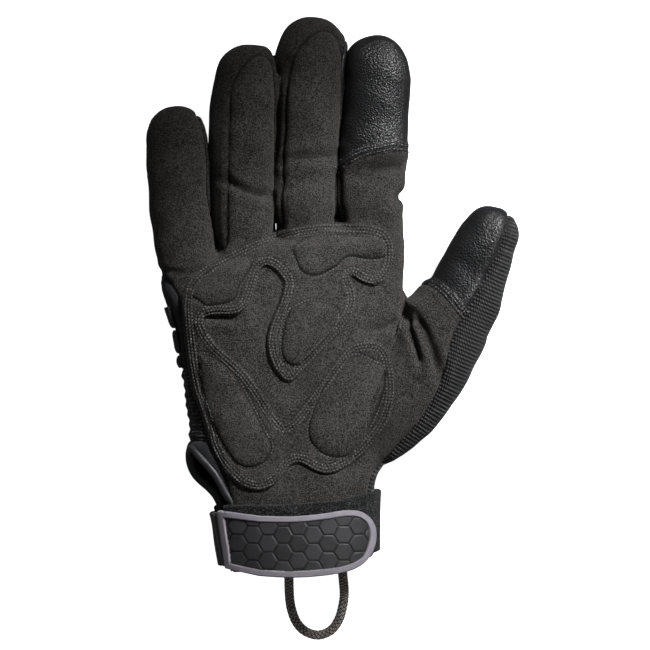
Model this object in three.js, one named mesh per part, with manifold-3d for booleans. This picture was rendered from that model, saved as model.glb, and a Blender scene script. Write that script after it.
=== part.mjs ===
// A right-hand tactical glove, lying on its back with the palm up: suede palm, leather fingertips,
// ribbed knit along the thumb, padded palm overlay, hook-and-loop wrist closure and a pull cord.
// Millimetres, +Z up, fingers towards +Y, thumb towards +X, the resting face at z = 0.
import * as THREE from "three";
import { mergeVertices } from "three/addons/utils/BufferGeometryUtils.js";
import Module from "manifold-3d";

const wasm = await Module();
wasm.setup();

// Driving dimensions
const WALL = 1.8; // shell: face cloth and its lining
const GAP = 0.35; // air between neighbouring pieces
const OVERLAY = 1.3; // suede overlay on the palm
const PAD_RISE = 2.2; // cushions in the overlay, above its face
const EDGE_PAD = 1.5; // puffed segments on the outer edge of the hand
const BAND = 1.4; // loop fabric sewn round the cuff
const STRAP = 1.3; // closure strap over the loop fabric
const PLATE = 1.7; // moulded rubber plate on the strap's end
const CELL_RISE = 0.5; // hexagon cells, above the plate
const RIM_RISE = 1.0; // moulded border, above the plate
const RIM_WIDE = 2.4;
const BINDING = 1.1; // tape round the edges of the wrist slit
const BINDING_WIDE = 3.2;
const CORD_RADIUS = 2.1;
const SEAM_PALM = 13.5; // height of the seam between palm side and back
const SEAM_BACK = 8.5; // height of the seam between the finger side strips and the back
const SEAM_THUMB = 16; // height of the seam between the thumb's suede and its knit
const TOP = 70; // above everything
// Facets round the palm and round a digit, and the rings of a rounded fingertip in degrees from
// its root: of the outside, and of the hollow
const FACETS = { palm: 20, digit: 10, tip: [35, 64, 84] };
const LINING_FACETS = { palm: 14, digit: 8, tip: [42, 78] };

const table = (columns, rows) =>
  rows.map((row) => Object.fromEntries(columns.map((name, i) => [name, row[i]])));

// The hand from the hem to the finger roots. Each row is one section across the hand; slant turns
// the section towards the line of the finger roots, and boxy is how square its underside is.
const PALM = table(
  ["y", "left", "right", "bottom", "top", "slant", "boxy"],
  [
    [-118.8, -44.6, 18.2, 5.8, 42.5, 0.108, 3.2],
    [-88, -49.4, 19.0, 4.6, 41.0, 0.12, 3.0],
    [-75, -60.6, 23.4, 1.6, 38.0, 0.06, 2.8],
    [-64, -62.0, 28.5, -0.4, 37.0, 0, 2.6],
    [-42, -65.2, 33.8, -1.5, 37.0, 0, 2.6],
    [-20, -68.2, 34.8, -1.5, 37.5, 0, 2.6],
    [0, -72.6, 31.8, -1.5, 36.0, 0.08, 2.6],
    [14, -75.4, 31.6, -1.0, 31.0, 0.17, 2.6],
    [23, -73.0, 30.6, 0.5, 27.0, 0.23, 2.4],
    [26.5, -68.0, 27.0, 4.5, 22.5, 0.23, 2.2],
  ],
);

// Fingers and thumb: the centre line from the root inside the hand to the tip, with the half
// width across it and the half height. The last row is the tip itself. Narrow rows are folds.
const DIGIT_COLUMNS = ["x", "y", "z", "wide", "high"];
const DIGITS = {
  pinky: table(DIGIT_COLUMNS, [
    [-60.0, 0, 14.5, 13.0, 11.5],
    [-62.3, 13, 14.2, 13.4, 12.2],
    [-65.6, 30, 13.8, 13.4, 11.4],
    [-66.9, 43, 14.0, 13.4, 11.8],
    [-67.6, 56, 14.6, 13.6, 11.6],
    [-68.2, 67, 15.6, 13.4, 11.4],
    [-69.6, 81.6, 17.2, 0, 0],
  ]),
  ring: table(DIGIT_COLUMNS, [
    [-36.7, 8, 15.5, 13.0, 12.0],
    [-38.0, 27, 14.6, 13.3, 12.4],
    [-39.1, 41, 14.0, 13.9, 11.9],
    [-39.6, 48.6, 13.8, 13.9, 10.8],
    [-39.5, 58, 14.2, 14.5, 12.0],
    [-39.3, 70, 14.8, 15.0, 12.4],
    [-38.7, 82, 15.6, 14.7, 12.2],
    [-37.9, 93, 16.8, 13.9, 11.8],
    [-35.9, 109.8, 19.0, 0, 0],
  ]),
  middle: table(DIGIT_COLUMNS, [
    [-9.9, 12, 15.5, 13.0, 12.0],
    [-11.0, 31, 14.6, 13.5, 12.6],
    [-11.5, 46, 14.2, 13.6, 12.0],
    [-10.9, 57, 13.8, 13.6, 11.0],
    [-9.9, 70, 14.4, 13.9, 12.2],
    [-9.2, 84, 15.2, 14.4, 12.4],
    [-8.8, 93, 16.0, 14.6, 12.2],
    [-8.5, 103, 17.2, 15.0, 12.0],
    [-6.8, 121.9, 20.0, 0, 0],
  ]),
  index: table(DIGIT_COLUMNS, [
    [17.4, 10, 15.5, 13.8, 12.0],
    [17.4, 32, 14.8, 14.4, 12.6],
    [15.8, 44, 14.2, 13.3, 11.4],
    [17.3, 50.5, 13.8, 14.3, 11.2],
    [18.3, 60, 14.4, 14.8, 12.4],
    [19.2, 78, 15.4, 14.3, 12.4],
    [20.6, 96, 17.4, 14.2, 11.8],
    [15.6, 112.4, 20.0, 0, 0],
  ]),
  thumb: table(DIGIT_COLUMNS, [
    [5.0, -67, 18.0, 13.0, 12.0],
    [20.0, -57.2, 18.5, 17.6, 15.5],
    [34.2, -42.4, 19.2, 19.0, 17.2],
    [45.6, -24.2, 20.2, 19.2, 17.0],
    [52.0, -11.6, 21.0, 18.4, 15.6],
    [58.0, -2.8, 21.8, 16.4, 14.0],
    [62.6, 8.6, 22.8, 15.4, 13.2],
    [67.6, 19.6, 24.0, 14.0, 12.6],
    [71.2, 27.0, 25.0, 13.0, 12.0],
    [76.2, 36.6, 26.6, 0, 0],
  ]),
};

const sidePower = (value, power) => Math.sign(value) * Math.abs(value) ** (2 / power);

// A closed tube: a unit cylinder with each ring of its vertices moved onto its section.
function loft(sections, around) {
  const last = sections.length - 1;
  const geometry = new THREE.CylinderGeometry(1, 1, 1, around, last);
  const position = geometry.attributes.position;
  const point = new THREE.Vector3();
  for (let i = 0; i < position.count; i++) {
    point.fromBufferAttribute(position, i);
    const section = sections[Math.round((0.5 - point.y) * last)];
    const radius = Math.hypot(point.x, point.z);
    const angle = Math.atan2(point.z, point.x);
    point.copy(section(Math.cos(angle), Math.sin(angle), radius));
    position.setXYZ(i, point.x, point.y, point.z);
  }
  return toSolid(geometry);
}

// The merged, closed solid of a geometry.
function toSolid(geometry) {
  geometry.deleteAttribute("normal");
  geometry.deleteAttribute("uv");
  const merged = mergeVertices(geometry, 1e-4);
  const triangles = new Uint32Array(merged.index.array);
  const mesh = new wasm.Mesh({
    numProp: 3,
    vertProperties: merged.attributes.position.array,
    triVerts: triangles,
  });
  const solid = new wasm.Manifold(mesh);
  if (solid.volume() > 0) return solid;
  for (let i = 0; i < triangles.length; i += 3) triangles.subarray(i, i + 2).reverse();
  return new wasm.Manifold(mesh);
}

// The palm's tube, grown by an offset all round; the hem end moves out by its own amount.
function palmForm(offset, hemOut, facets = FACETS) {
  const sections = PALM.map((row, i) => (across, up, radius) => {
    const middle = (row.left + row.right) / 2;
    const wide = (row.right - row.left) / 2 + offset;
    const high = (row.top - row.bottom) / 2 + offset;
    const power = up < 0 ? row.boxy : 2.3;
    const x = middle + radius * wide * sidePower(across, power);
    const z = (row.top + row.bottom) / 2 + radius * high * sidePower(up, power);
    const end = i === 0 ? -hemOut : i === PALM.length - 1 ? offset : 0;
    return new THREE.Vector3(x, row.y + row.slant * (x + 10) + end, Math.max(z, -offset));
  });
  return loft(sections, facets.palm);
}

// A finger's tube, grown by an offset, with a rounded tip past the last full section.
function digitForm(rows, offset, facets) {
  const centres = rows.map((row) => new THREE.Vector3(row.x, row.y, row.z));
  const full = rows.length - 2;
  const stations = rows.slice(0, -1).map((row, i) => ({
    centre: centres[i],
    along: centres[Math.min(i + 1, full + 1)].clone().sub(centres[Math.max(i - 1, 0)]),
    wide: row.wide + offset,
    high: row.high + offset,
  }));
  const cap = centres[full + 1].clone().sub(centres[full]);
  cap.setLength(cap.length() + offset);
  for (const degrees of facets.tip) {
    const angle = THREE.MathUtils.degToRad(degrees);
    stations.push({
      centre: centres[full].clone().addScaledVector(cap, Math.sin(angle)),
      along: cap,
      wide: (rows[full].wide + offset) * Math.cos(angle) ** 0.8,
      high: (rows[full].high + offset) * Math.cos(angle) ** 0.8,
    });
  }
  const sections = stations.map((station) => {
    const along = station.along.clone().normalize();
    const side = new THREE.Vector3().crossVectors(along, new THREE.Vector3(0, 0, 1)).normalize();
    const rise = new THREE.Vector3().crossVectors(side, along);
    return (across, up, radius) => {
      const point = station.centre.clone();
      point.addScaledVector(side, radius * station.wide * sidePower(across, 2.2));
      point.addScaledVector(rise, radius * station.high * sidePower(up, 2.2));
      point.z = Math.max(point.z, -offset);
      return point;
    };
  });
  return loft(sections, facets.digit);
}

// The whole hand grown by an offset, and the layer of cloth between two offsets.
const handForm = (offset, hemOut = 0, facets = FACETS) =>
  Object.values(DIGITS).reduce(
    (form, rows) => form.add(digitForm(rows, offset, facets)),
    palmForm(offset, hemOut, facets),
  );
const palmLayer = (from, to) => palmForm(to, 0).subtract(palmForm(from, 3));

// A straight-sided cutter: an outline of [x, y] points, from one height to another.
function prism(points, bottom, top) {
  const shape = new THREE.Shape(points.map(([x, y]) => new THREE.Vector2(x, y)));
  const options = { depth: top - bottom, bevelEnabled: false, steps: 1 };
  const geometry = new THREE.ExtrudeGeometry(shape, options);
  geometry.translate(0, 0, bottom);
  return toSolid(geometry);
}

// A cutter for the side of the hand: an outline of [y, z] points, from one x to another.
function sidePrism(points, from, to) {
  const shape = new THREE.Shape(points.map(([y, z]) => new THREE.Vector2(y, z)));
  const geometry = new THREE.ExtrudeGeometry(shape, { depth: to - from, bevelEnabled: false });
  geometry.applyMatrix4(new THREE.Matrix4().set(0, 0, 1, from, 1, 0, 0, 0, 0, 1, 0, 0, 0, 0, 0, 1));
  return toSolid(geometry);
}

// An outline moved outwards along the normals of its corners, or inwards when negative.
function grow(points, distance) {
  const turn = THREE.ShapeUtils.area(points.map(([x, y]) => ({ x, y }))) > 0 ? 1 : -1;
  return points.map(([x, y], i) => {
    const [ax, ay] = points[(i + points.length - 1) % points.length];
    const [bx, by] = points[(i + 1) % points.length];
    const before = new THREE.Vector2(y - ay, ax - x).normalize();
    const after = new THREE.Vector2(by - y, x - bx).normalize();
    const normal = before.clone().add(after).normalize();
    const reach = Math.min(1 / Math.max(normal.dot(after), 0.4), 2);
    return [x + turn * normal.x * distance * reach, y + turn * normal.y * distance * reach];
  });
}

// A smooth closed outline through a few corner points.
function smooth(points, count) {
  const corners = points.map(([x, y]) => new THREE.Vector3(x, y, 0));
  const curve = new THREE.CatmullRomCurve3(corners, true, "centripetal");
  return curve.getSpacedPoints(count).slice(0, -1).map((p) => [p.x, p.y]);
}

// The one largest body of a cut piece, without the crumbs a cutter leaves at an edge.
function largestBody(solid) {
  const bodies = solid.decompose();
  return bodies.reduce((best, body) => (body.volume() > best.volume() ? body : best));
}

function addPiece(name, solid, colour, roughness, metalness = 0) {
  const mesh = largestBody(solid).getMesh();
  const geometry = new THREE.BufferGeometry();
  geometry.setAttribute("position", new THREE.BufferAttribute(mesh.vertProperties, 3));
  geometry.setIndex(new THREE.BufferAttribute(mesh.triVerts, 1));
  geometry.computeVertexNormals();
  const material = new THREE.MeshStandardMaterial({ color: colour, roughness, metalness });
  const piece = new THREE.Mesh(geometry, material);
  piece.name = name;
  glove.add(piece);
}

const SUEDE = 0x3a3735;
const LEATHER = 0x1d1c1c;
const KNIT = 0x18181a;
const RUBBER = 0x343237;
const BORDER = 0x6b6771;

const glove = new THREE.Group();
glove.name = "tactical_glove";

// Seam lines seen from above
const THUMB_SEAM = [
  [79.5, 41], [76.6, 32], [74.8, 22.7], [68.0, 8.2], [63.8, 1.1], [57.0, -10.3], [52.9, -18.7],
  [50.4, -29], [48.0, -39.8], [42, -52], [34.1, -62.3], [21.5, -75.0], [15.6, -83], [13.5, -126],
];
const THUMB_CAP_SEAM = [[42.5, 3.7], [46.9, 2.0], [57.0, -10.3]];
const INDEX_CAP_SEAM = [[2.6, 54], [10.6, 58.7], [17.8, 61.5], [25.7, 63.6], [36, 62.4]];
const OUTER_EDGE = [
  [-42.5, -126], [-44.0, -90], [-47.5, -76.8], [-51.7, -68.4], [-54.6, -60], [-59.6, -46.4],
  [-62.3, -36.7], [-64.0, -23.1], [-65.4, -8], [-68.4, 1.1], [-73.0, 7.0], [-79.0, 11.5],
];
// The suede's edge round each finger, up its outer side and down its inner side.
const SUEDE_FINGERS = [
  [-84, 17], [-84, 86], [-64, 85.5], [-57.2, 77.2], [-54.6, 67], [-54.4, 50], [-53.2, 35], [-51.6, 25],
  [-49.6, 18.5], [-46.8, 20.5], [-45.6, 30], [-44.8, 88], [-42.6, 94.6], [-36.7, 101.9],
  [-32.8, 105.1], [-29.3, 104.7], [-26.6, 102], [-24.9, 96], [-24.7, 74], [-25.6, 50], [-25.2, 34],
  [-23.4, 27.6], [-21.8, 31], [-21.4, 50], [-20.0, 88], [-18.4, 100], [-15.8, 104.6],
  [-13.1, 109.3], [-7.6, 113.8], [-3.5, 115.6], [0.6, 114], [3.6, 109.3], [5.2, 100], [4.8, 88],
  [3.4, 64], [1.6, 48], [2.2, 34], [3.8, 30.4], [5.0, 35], [4.2, 45], [5.0, 55],
];
const SUEDE_INDEX = [[33, 63], [31.6, 50], [31.6, 20], [31.4, 2], [33.8, -9], [38, -4]];

// The regions that the hand's shell is divided into. An earlier region keeps its ground, and the
// later ones stop a gap short of it; the back takes what is left.
const farRight = [[110, -126], [110, 60], [79.5, 60]];
const regions = [
  {
    name: "thumb_knit_panel",
    blocks: [
      { outline: [...THUMB_SEAM, ...farRight], bottom: SEAM_THUMB, top: TOP },
      {
        outline: [
          [-2, -126], [2, -92], [9, -72], [21, -48], [30, -22], [33.6, -7], [44, 8], [66, 60],
          [110, 60], [110, -126],
        ],
        bottom: -5,
        top: SEAM_THUMB,
      },
    ],
  },
  {
    name: "thumb_tip_cap",
    blocks: [
      { outline: [...THUMB_CAP_SEAM, [92, -10], [92, 60], [36, 60], [36, 3.7]], bottom: 0, top: TOP },
    ],
  },
  {
    name: "index_tip_cap",
    blocks: [{ outline: [...INDEX_CAP_SEAM, [36, 130], [4.7, 130]], bottom: SEAM_BACK, top: TOP }],
  },
  {
    name: "palm_panel",
    blocks: [
      {
        outline: [
          ...OUTER_EDGE, ...SUEDE_FINGERS, ...SUEDE_INDEX, [42.5, 3.7], [60, 8], [90, -20],
          [60, -126],
        ],
        bottom: SEAM_PALM,
        top: TOP,
      },
    ],
  },
  {
    name: "fourchette_pinky_ring",
    blocks: [
      {
        outline: [[-67, 12], [-38, 15], [-38, 97], [-22, 97], [-22, 116], [-62, 116], [-67, 72]],
        bottom: SEAM_BACK,
        top: TOP,
      },
    ],
  },
  {
    name: "fourchette_ring_middle",
    blocks: [
      {
        outline: [[-37.6, 18], [-9, 22], [-9, 108], [8, 108], [8, 130], [-30, 130], [-37.6, 97]],
        bottom: SEAM_BACK,
        top: TOP,
      },
    ],
  },
  {
    name: "fourchette_middle_index",
    blocks: [{ outline: [[-8.6, 22], [18, 24], [18, 70], [-8.6, 108]], bottom: SEAM_BACK, top: TOP }],
  },
  {
    name: "ulnar_gusset",
    blocks: [{ outline: [[-90, -65], [-40, -65], [-40, -33.5], [-90, -33.5]], bottom: 6, top: TOP }],
  },
];

// The wrist slit on the little-finger side, seen from the side as [y, z]: a long narrow V.
const SLIT = [[-66, 27.5], [-78, 32], [-90, 33], [-126, 32], [-126, 21], [-90, 20], [-78, 21.5]];
const slitCut = sidePrism(SLIT, -90, -30);

const hollow = handForm(-WALL, 4, LINING_FACETS);
const shell = handForm(0).subtract(hollow).subtract(slitCut);

const shellColours = {
  fourchette_pinky_ring: [SUEDE, 0.95],
  fourchette_ring_middle: [SUEDE, 0.95],
  fourchette_middle_index: [SUEDE, 0.95],
  thumb_knit_panel: [KNIT, 0.9],
  thumb_tip_cap: [LEATHER, 0.5],
  index_tip_cap: [LEATHER, 0.5],
  palm_panel: [SUEDE, 0.95],
  ulnar_gusset: [KNIT, 0.9],
};
let remaining = shell;
for (const { name, blocks } of regions) {
  const cutters = blocks.map(({ outline, bottom, top }) => prism(outline, bottom, top));
  const wideCutters = blocks.map(({ outline, bottom, top }) =>
    prism(grow(outline, GAP), bottom - GAP, top + GAP),
  );
  const piece = cutters.map((cutter) => remaining.intersect(cutter)).reduce((a, b) => a.add(b));
  addPiece(name, piece, ...shellColours[name]);
  remaining = wideCutters.reduce((rest, cutter) => rest.subtract(cutter), remaining);
}
addPiece("back_panel", remaining, KNIT, 0.85);

// The palm overlay: one layer of suede with its stitched cushions raised on it.
const OVERLAY_OUTLINE = [
  [-65.6, -2], [-62.4, 7.1], [-53.6, 13.6], [-37.2, 21.8], [-25.3, 26.6], [-10.6, 30.4],
  [4.4, 30.9], [21.5, 30.2], [26.9, 24.4], [28, 17], [26, 8], [20.2, 3], [14, 4], [7.4, 8.6],
  [10.8, 1], [10.9, -5.7], [7, -14], [-13, -34.7], [-18.6, -40], [-24.7, -34.7], [-28.4, -25],
  [-27.7, -15.3], [-20, 2.4], [-21.6, 7], [-27, 12], [-30.9, 11.2], [-33.4, 2], [-38, -10],
  [-55, -9.6], [-56.3, -13], [-51.3, -21.8], [-41.8, -29.4], [-33, -38.9], [-22.4, -57],
  [-19.2, -57], [-13, -49.9], [3.9, -26.3], [9, -21.4], [20.7, -20.7], [25.4, -25.6],
  [28.4, -38], [27, -53], [19.6, -65], [8.4, -75.7], [-3.4, -80.7], [-16.3, -72.1], [-22, -81.9],
  [-30, -87], [-40, -85], [-51.7, -72.2], [-56.3, -53.3], [-61, -42], [-63.7, -24],
];
const CUSHIONS = {
  forefinger: [[-17, 17.5], [-10, 23.5], [4, 24.4], [19, 24.2], [24, 18], [18, 14.6], [7, 15.6],
    [0.9, 10.9], [-7.3, 7.3], [-14, 10]],
  little_finger: [[-61.3, -1.7], [-55, 7], [-40, 15], [-34.6, 12.6], [-40, 3], [-43, -3.5],
    [-55, -5.6]],
  centre: [[-18, -7], [-21.8, -20], [-20.6, -29], [-14.5, -31], [-4.5, -22.9], [2.6, -10.6],
    [-1.5, -4.8], [-11, -3.6]],
  heel: [[-57.5, -27], [-46, -31.5], [-38.2, -42.6], [-29.8, -59.4], [-26, -67.5], [-31, -75.2],
    [-41, -74.6], [-50.6, -59.4], [-56.3, -42]],
  thumb_base: [[12, -27], [2, -32], [-5.7, -45.4], [-10.2, -61], [-4.5, -70], [5, -71.8], [13, -65.5],
    [22.4, -45.4], [22.4, -32]],
};
const overlayFrom = GAP;
const overlayTo = overlayFrom + OVERLAY;
const palmTop = (points) => prism(points, SEAM_PALM + 8, TOP);
const overlayBase = handForm(overlayFrom);
let overlay = handForm(overlayTo).subtract(overlayBase).intersect(palmTop(OVERLAY_OUTLINE));
const cushionLayer = handForm(overlayTo + PAD_RISE).subtract(overlayBase);
for (const corners of Object.values(CUSHIONS))
  overlay = overlay.add(cushionLayer.intersect(palmTop(smooth(corners, 11))));
const slitMargin = sidePrism(grow(SLIT, BINDING_WIDE + GAP), -90, -30);
addPiece("palm_overlay", overlay.subtract(slitMargin), SUEDE, 0.95);

// Three puffed segments along the outer edge of the hand, one above another.
const EDGE_PADS = table(
  ["from", "to"],
  [
    [-15.4, -4.2],
    [-26.6, -16.2],
    [-33.0, -27.4],
  ],
);
const edgeLayer = palmLayer(GAP, GAP + EDGE_PAD);
EDGE_PADS.forEach(({ from, to }, i) => {
  const corners = [[from, 9], [to, 9], [to, 24], [from, 24]];
  addPiece(`edge_pad_${i + 1}`, edgeLayer.intersect(sidePrism(corners, -90, -55)), KNIT, 0.7);
});

// The binding tape lies along both edges of the wrist slit and round its closed end.
const slitTape = sidePrism(grow(SLIT, BINDING_WIDE), -90, -30).subtract(
  sidePrism(grow(SLIT, 0.2), -90, -30),
);
const aboveHem = sidePrism([[-121.4, -20], [-30, -20], [-30, 80], [-121.4, 80]], -100, 60);
const tapeLayer = palmLayer(GAP, GAP + BINDING);
addPiece("slit_binding", tapeLayer.intersect(slitTape).intersect(aboveHem), KNIT, 0.8);

// The loop fabric goes round the cuff from the slit's palm edge to the slit's back edge.
const bandFrom = GAP * 2 + BINDING;
const bandTo = bandFrom + BAND;
const BAND_OUTLINE = [[-70, -122.4], [40, -111.5], [40, -82.2], [-70, -96.5]];
const bandCut = prism(BAND_OUTLINE, -10, TOP).subtract(sidePrism(grow(SLIT, 0.6), -90, -30));
addPiece("loop_band", palmLayer(bandFrom, bandTo).intersect(bandCut), KNIT, 1);

// The closure strap starts on the back, crosses the slit and carries the rubber plate's free end.
const TAB = [
  [-48.8, -94.9], [-31, -97], [-17.5, -97.3], [-5.1, -96.3], [6.3, -94.3], [13, -95.2], [17.4, -99.7],
  [18.6, -106], [17.1, -113.3], [13.2, -118.6], [6.3, -121.5], [-5.1, -123.2], [-17.5, -123.9],
  [-31, -123.2], [-45.2, -120.2],
];
const strapFrom = bandTo + GAP;
const strapTo = strapFrom + STRAP;
const STRAP_BACK = [[-20, -119.5], [-20, -96], [-70, -96], [-70, -119.5]];
const strapLayer = palmLayer(strapFrom, strapTo);
const strapTop = strapLayer.intersect(prism(grow(TAB, -RIM_WIDE), 22, TOP));
const strapSide = strapLayer.intersect(prism([...STRAP_BACK.slice(2), [-44, -119.5], [-44, -96]], 12, 40));
const strapBack = strapLayer.intersect(prism(STRAP_BACK, -10, 23));
addPiece("closure_strap", strapTop.add(strapSide).add(strapBack), KNIT, 0.8);

// The moulded plate and its raised border, bent over the wrist.
const plateFrom = strapTo + GAP;
const plateTo = plateFrom + PLATE;
const plateOutline = grow(TAB, -RIM_WIDE - GAP);
const CELL_WIDE = 8.6; // across the corners
const CELL_GROOVE = 0.8;
const cellHigh = (CELL_WIDE * Math.sqrt(3)) / 2;
const cells = [];
for (let column = -4; column <= 4; column++) {
  for (let row = -1; row <= 1; row++) {
    const x = -14.5 + column * CELL_WIDE * 0.75;
    const y = -109 + (row + (column % 2 ? 0.5 : 0)) * cellHigh;
    const corners = [0, 1, 2, 3, 4, 5].map((corner) => {
      const angle = (corner * Math.PI) / 3;
      const reach = (CELL_WIDE - CELL_GROOVE) / 2;
      return [x + reach * Math.cos(angle), y + reach * Math.sin(angle)];
    });
    cells.push(prism(corners, 24, TOP));
  }
}
const cellField = cells.reduce((field, cell) => field.add(cell));
const plateCut = prism(plateOutline, 24, TOP);
const plate = palmLayer(plateFrom, plateTo)
  .add(palmLayer(plateFrom, plateTo + CELL_RISE).intersect(cellField))
  .intersect(plateCut);
addPiece("closure_tab", plate, RUBBER, 0.6);
const rimCut = prism(TAB, 24, TOP).subtract(prism(grow(TAB, -RIM_WIDE), 20, TOP + 5));
addPiece("tab_rim", palmLayer(plateFrom, plateTo + RIM_RISE).intersect(rimCut), BORDER, 0.6);

// The pull cord: both ends lie inside the hem on the back panel, and its loop lies on the surface.
const CORD_PATH = [
  [-18.9, -106, 10.4], [-18.9, -115, 10.4], [-18.9, -123.5, 10.2], [-18.7, -134.3, 3.0],
  [-17.8, -140.6, 2.15], [-15.6, -146.3, 2.15], [-11.7, -150.3, 2.15], [-5.9, -152, 2.15],
  [-0.2, -149.8, 2.15], [3.3, -145, 2.15], [5.1, -138.8, 2.2], [5.7, -133.1, 3.0],
  [4.9, -123.5, 11.6], [4.6, -115, 12.0], [4.6, -106, 12.0],
];
const cordCurve = new THREE.CatmullRomCurve3(CORD_PATH.map((p) => new THREE.Vector3(...p)));
const cordSection = new THREE.Shape(
  Array.from({ length: 8 }, (_, i) => {
    const angle = (i * Math.PI) / 4;
    return new THREE.Vector2(CORD_RADIUS * Math.cos(angle), CORD_RADIUS * Math.sin(angle));
  }),
);
const cordOptions = { steps: 24, bevelEnabled: false, extrudePath: cordCurve };
addPiece("cord_loop", toSolid(new THREE.ExtrudeGeometry(cordSection, cordOptions)), 0x1b1a1a, 0.8);

export default glove;
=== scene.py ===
from math import cos, hypot, pi, radians, sin, sqrt

import bpy
import numpy as np
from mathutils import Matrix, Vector
from mathutils.bvhtree import BVHTree


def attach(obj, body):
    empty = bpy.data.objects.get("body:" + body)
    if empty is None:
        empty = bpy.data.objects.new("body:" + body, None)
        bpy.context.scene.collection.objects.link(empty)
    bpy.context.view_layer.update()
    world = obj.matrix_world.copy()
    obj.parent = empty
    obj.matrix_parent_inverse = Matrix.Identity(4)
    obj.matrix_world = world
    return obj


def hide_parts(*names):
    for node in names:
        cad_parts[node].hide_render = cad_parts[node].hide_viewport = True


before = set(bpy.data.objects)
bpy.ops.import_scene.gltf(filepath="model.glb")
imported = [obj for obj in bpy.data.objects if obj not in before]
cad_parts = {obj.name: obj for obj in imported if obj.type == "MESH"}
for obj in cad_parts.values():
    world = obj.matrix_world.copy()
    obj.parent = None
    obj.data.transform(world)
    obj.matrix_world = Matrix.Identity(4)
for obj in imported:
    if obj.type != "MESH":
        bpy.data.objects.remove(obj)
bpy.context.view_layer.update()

MM = 0.001  # sizes are in millimetres, but for the lights, which are in metres

# Studio
# The glove lies palm up on plain white paper, seen from straight above through a long lens. Small
# softboxes with grids light the palm, the leather and the cord, and wide ones light its two sides.
PIXEL = 0.44  # what one of the photo's pixels covers at the height of the palm
PHOTO_PIXELS = 650
SENSOR = 36
VIEW_CENTRE = (-2.9, -14.0)  # what lies under the middle of the frame
LENS_HEIGHT = 1900
PALM_LEVEL = 24
FLOOR_HALF = 1500
ROOM_LIGHT = 0.115

studio = bpy.context.scene
lens = bpy.data.cameras.new("studio_camera")
lens.sensor_width = SENSOR
lens.lens = SENSOR * (LENS_HEIGHT - PALM_LEVEL) / (PHOTO_PIXELS * PIXEL)
lens.clip_end = 20
camera = bpy.data.objects.new("studio_camera", lens)
camera.location = (VIEW_CENTRE[0] * MM, VIEW_CENTRE[1] * MM, LENS_HEIGHT * MM)
studio.collection.objects.link(camera)
studio.camera = camera


def softbox(name, place, size, watts, aim=(0, 0, 0.02), spread=180, matt=True):
    """A square light turned to its aim; without matt it shows only as a gloss."""
    light = bpy.data.lights.new(name, "AREA")
    light.size = size
    light.energy = watts
    light.spread = radians(spread)
    holder = bpy.data.objects.new(name, light)
    holder.location = place
    holder.rotation_euler = (Vector(aim) - Vector(place)).to_track_quat("-Z", "Y").to_euler()
    holder.visible_diffuse = matt
    studio.collection.objects.link(holder)


softbox("gridded_softbox", (0.31, 0.38, 0.46), 0.16, 0.22, (0.004, -0.014, 0.03), 13)
softbox("key_softbox", (0.6, 0.48, 0.36), 0.3, 0.015, (0.01, 0.01, 0.02), 32)
softbox("hem_softbox", (0.12, -0.75, 0.6), 0.06, 0.009, (0, -0.175, 0), 8)
softbox("gloss_softbox", (0.62, 0.3, 0.42), 0.12, 0.07, (0.045, 0.06, 0.03), 16, matt=False)
softbox("rim_softbox", (0.85, 0.6, 0.22), 0.3, 1.6)
softbox("edge_softbox", (-0.8, 0.6, 0.25), 0.3, 0.6)
studio.view_settings.view_transform = "Standard"
world = bpy.data.worlds.new("white_room")
world.use_nodes = True
room = world.node_tree.nodes["Background"].inputs
room["Color"].default_value = (1, 1, 1, 1)
room["Strength"].default_value = ROOM_LIGHT
studio.world = world


class Thread:
    """A socket of a finish, with arithmetic that adds its Math nodes."""

    def __init__(self, finish, socket):
        self.finish = finish
        self.socket = socket

    def math(self, operation, *values):
        return self.finish.node("ShaderNodeMath", {"operation": operation}, dict(enumerate(values)))

    def __add__(self, other):
        return self.math("ADD", self, other)

    def __sub__(self, other):
        return self.math("SUBTRACT", self, other)

    def __rsub__(self, other):
        return self.math("SUBTRACT", other, self)

    def __mul__(self, other):
        return self.math("MULTIPLY", self, other)

    def wave(self, period):
        """A sine wave between 0 and 1 over this value."""
        return self.math("SINE", self * (2 * pi / period)) * 0.5 + 0.5

    def least(self, other):
        return self.math("MINIMUM", self, other)


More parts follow.
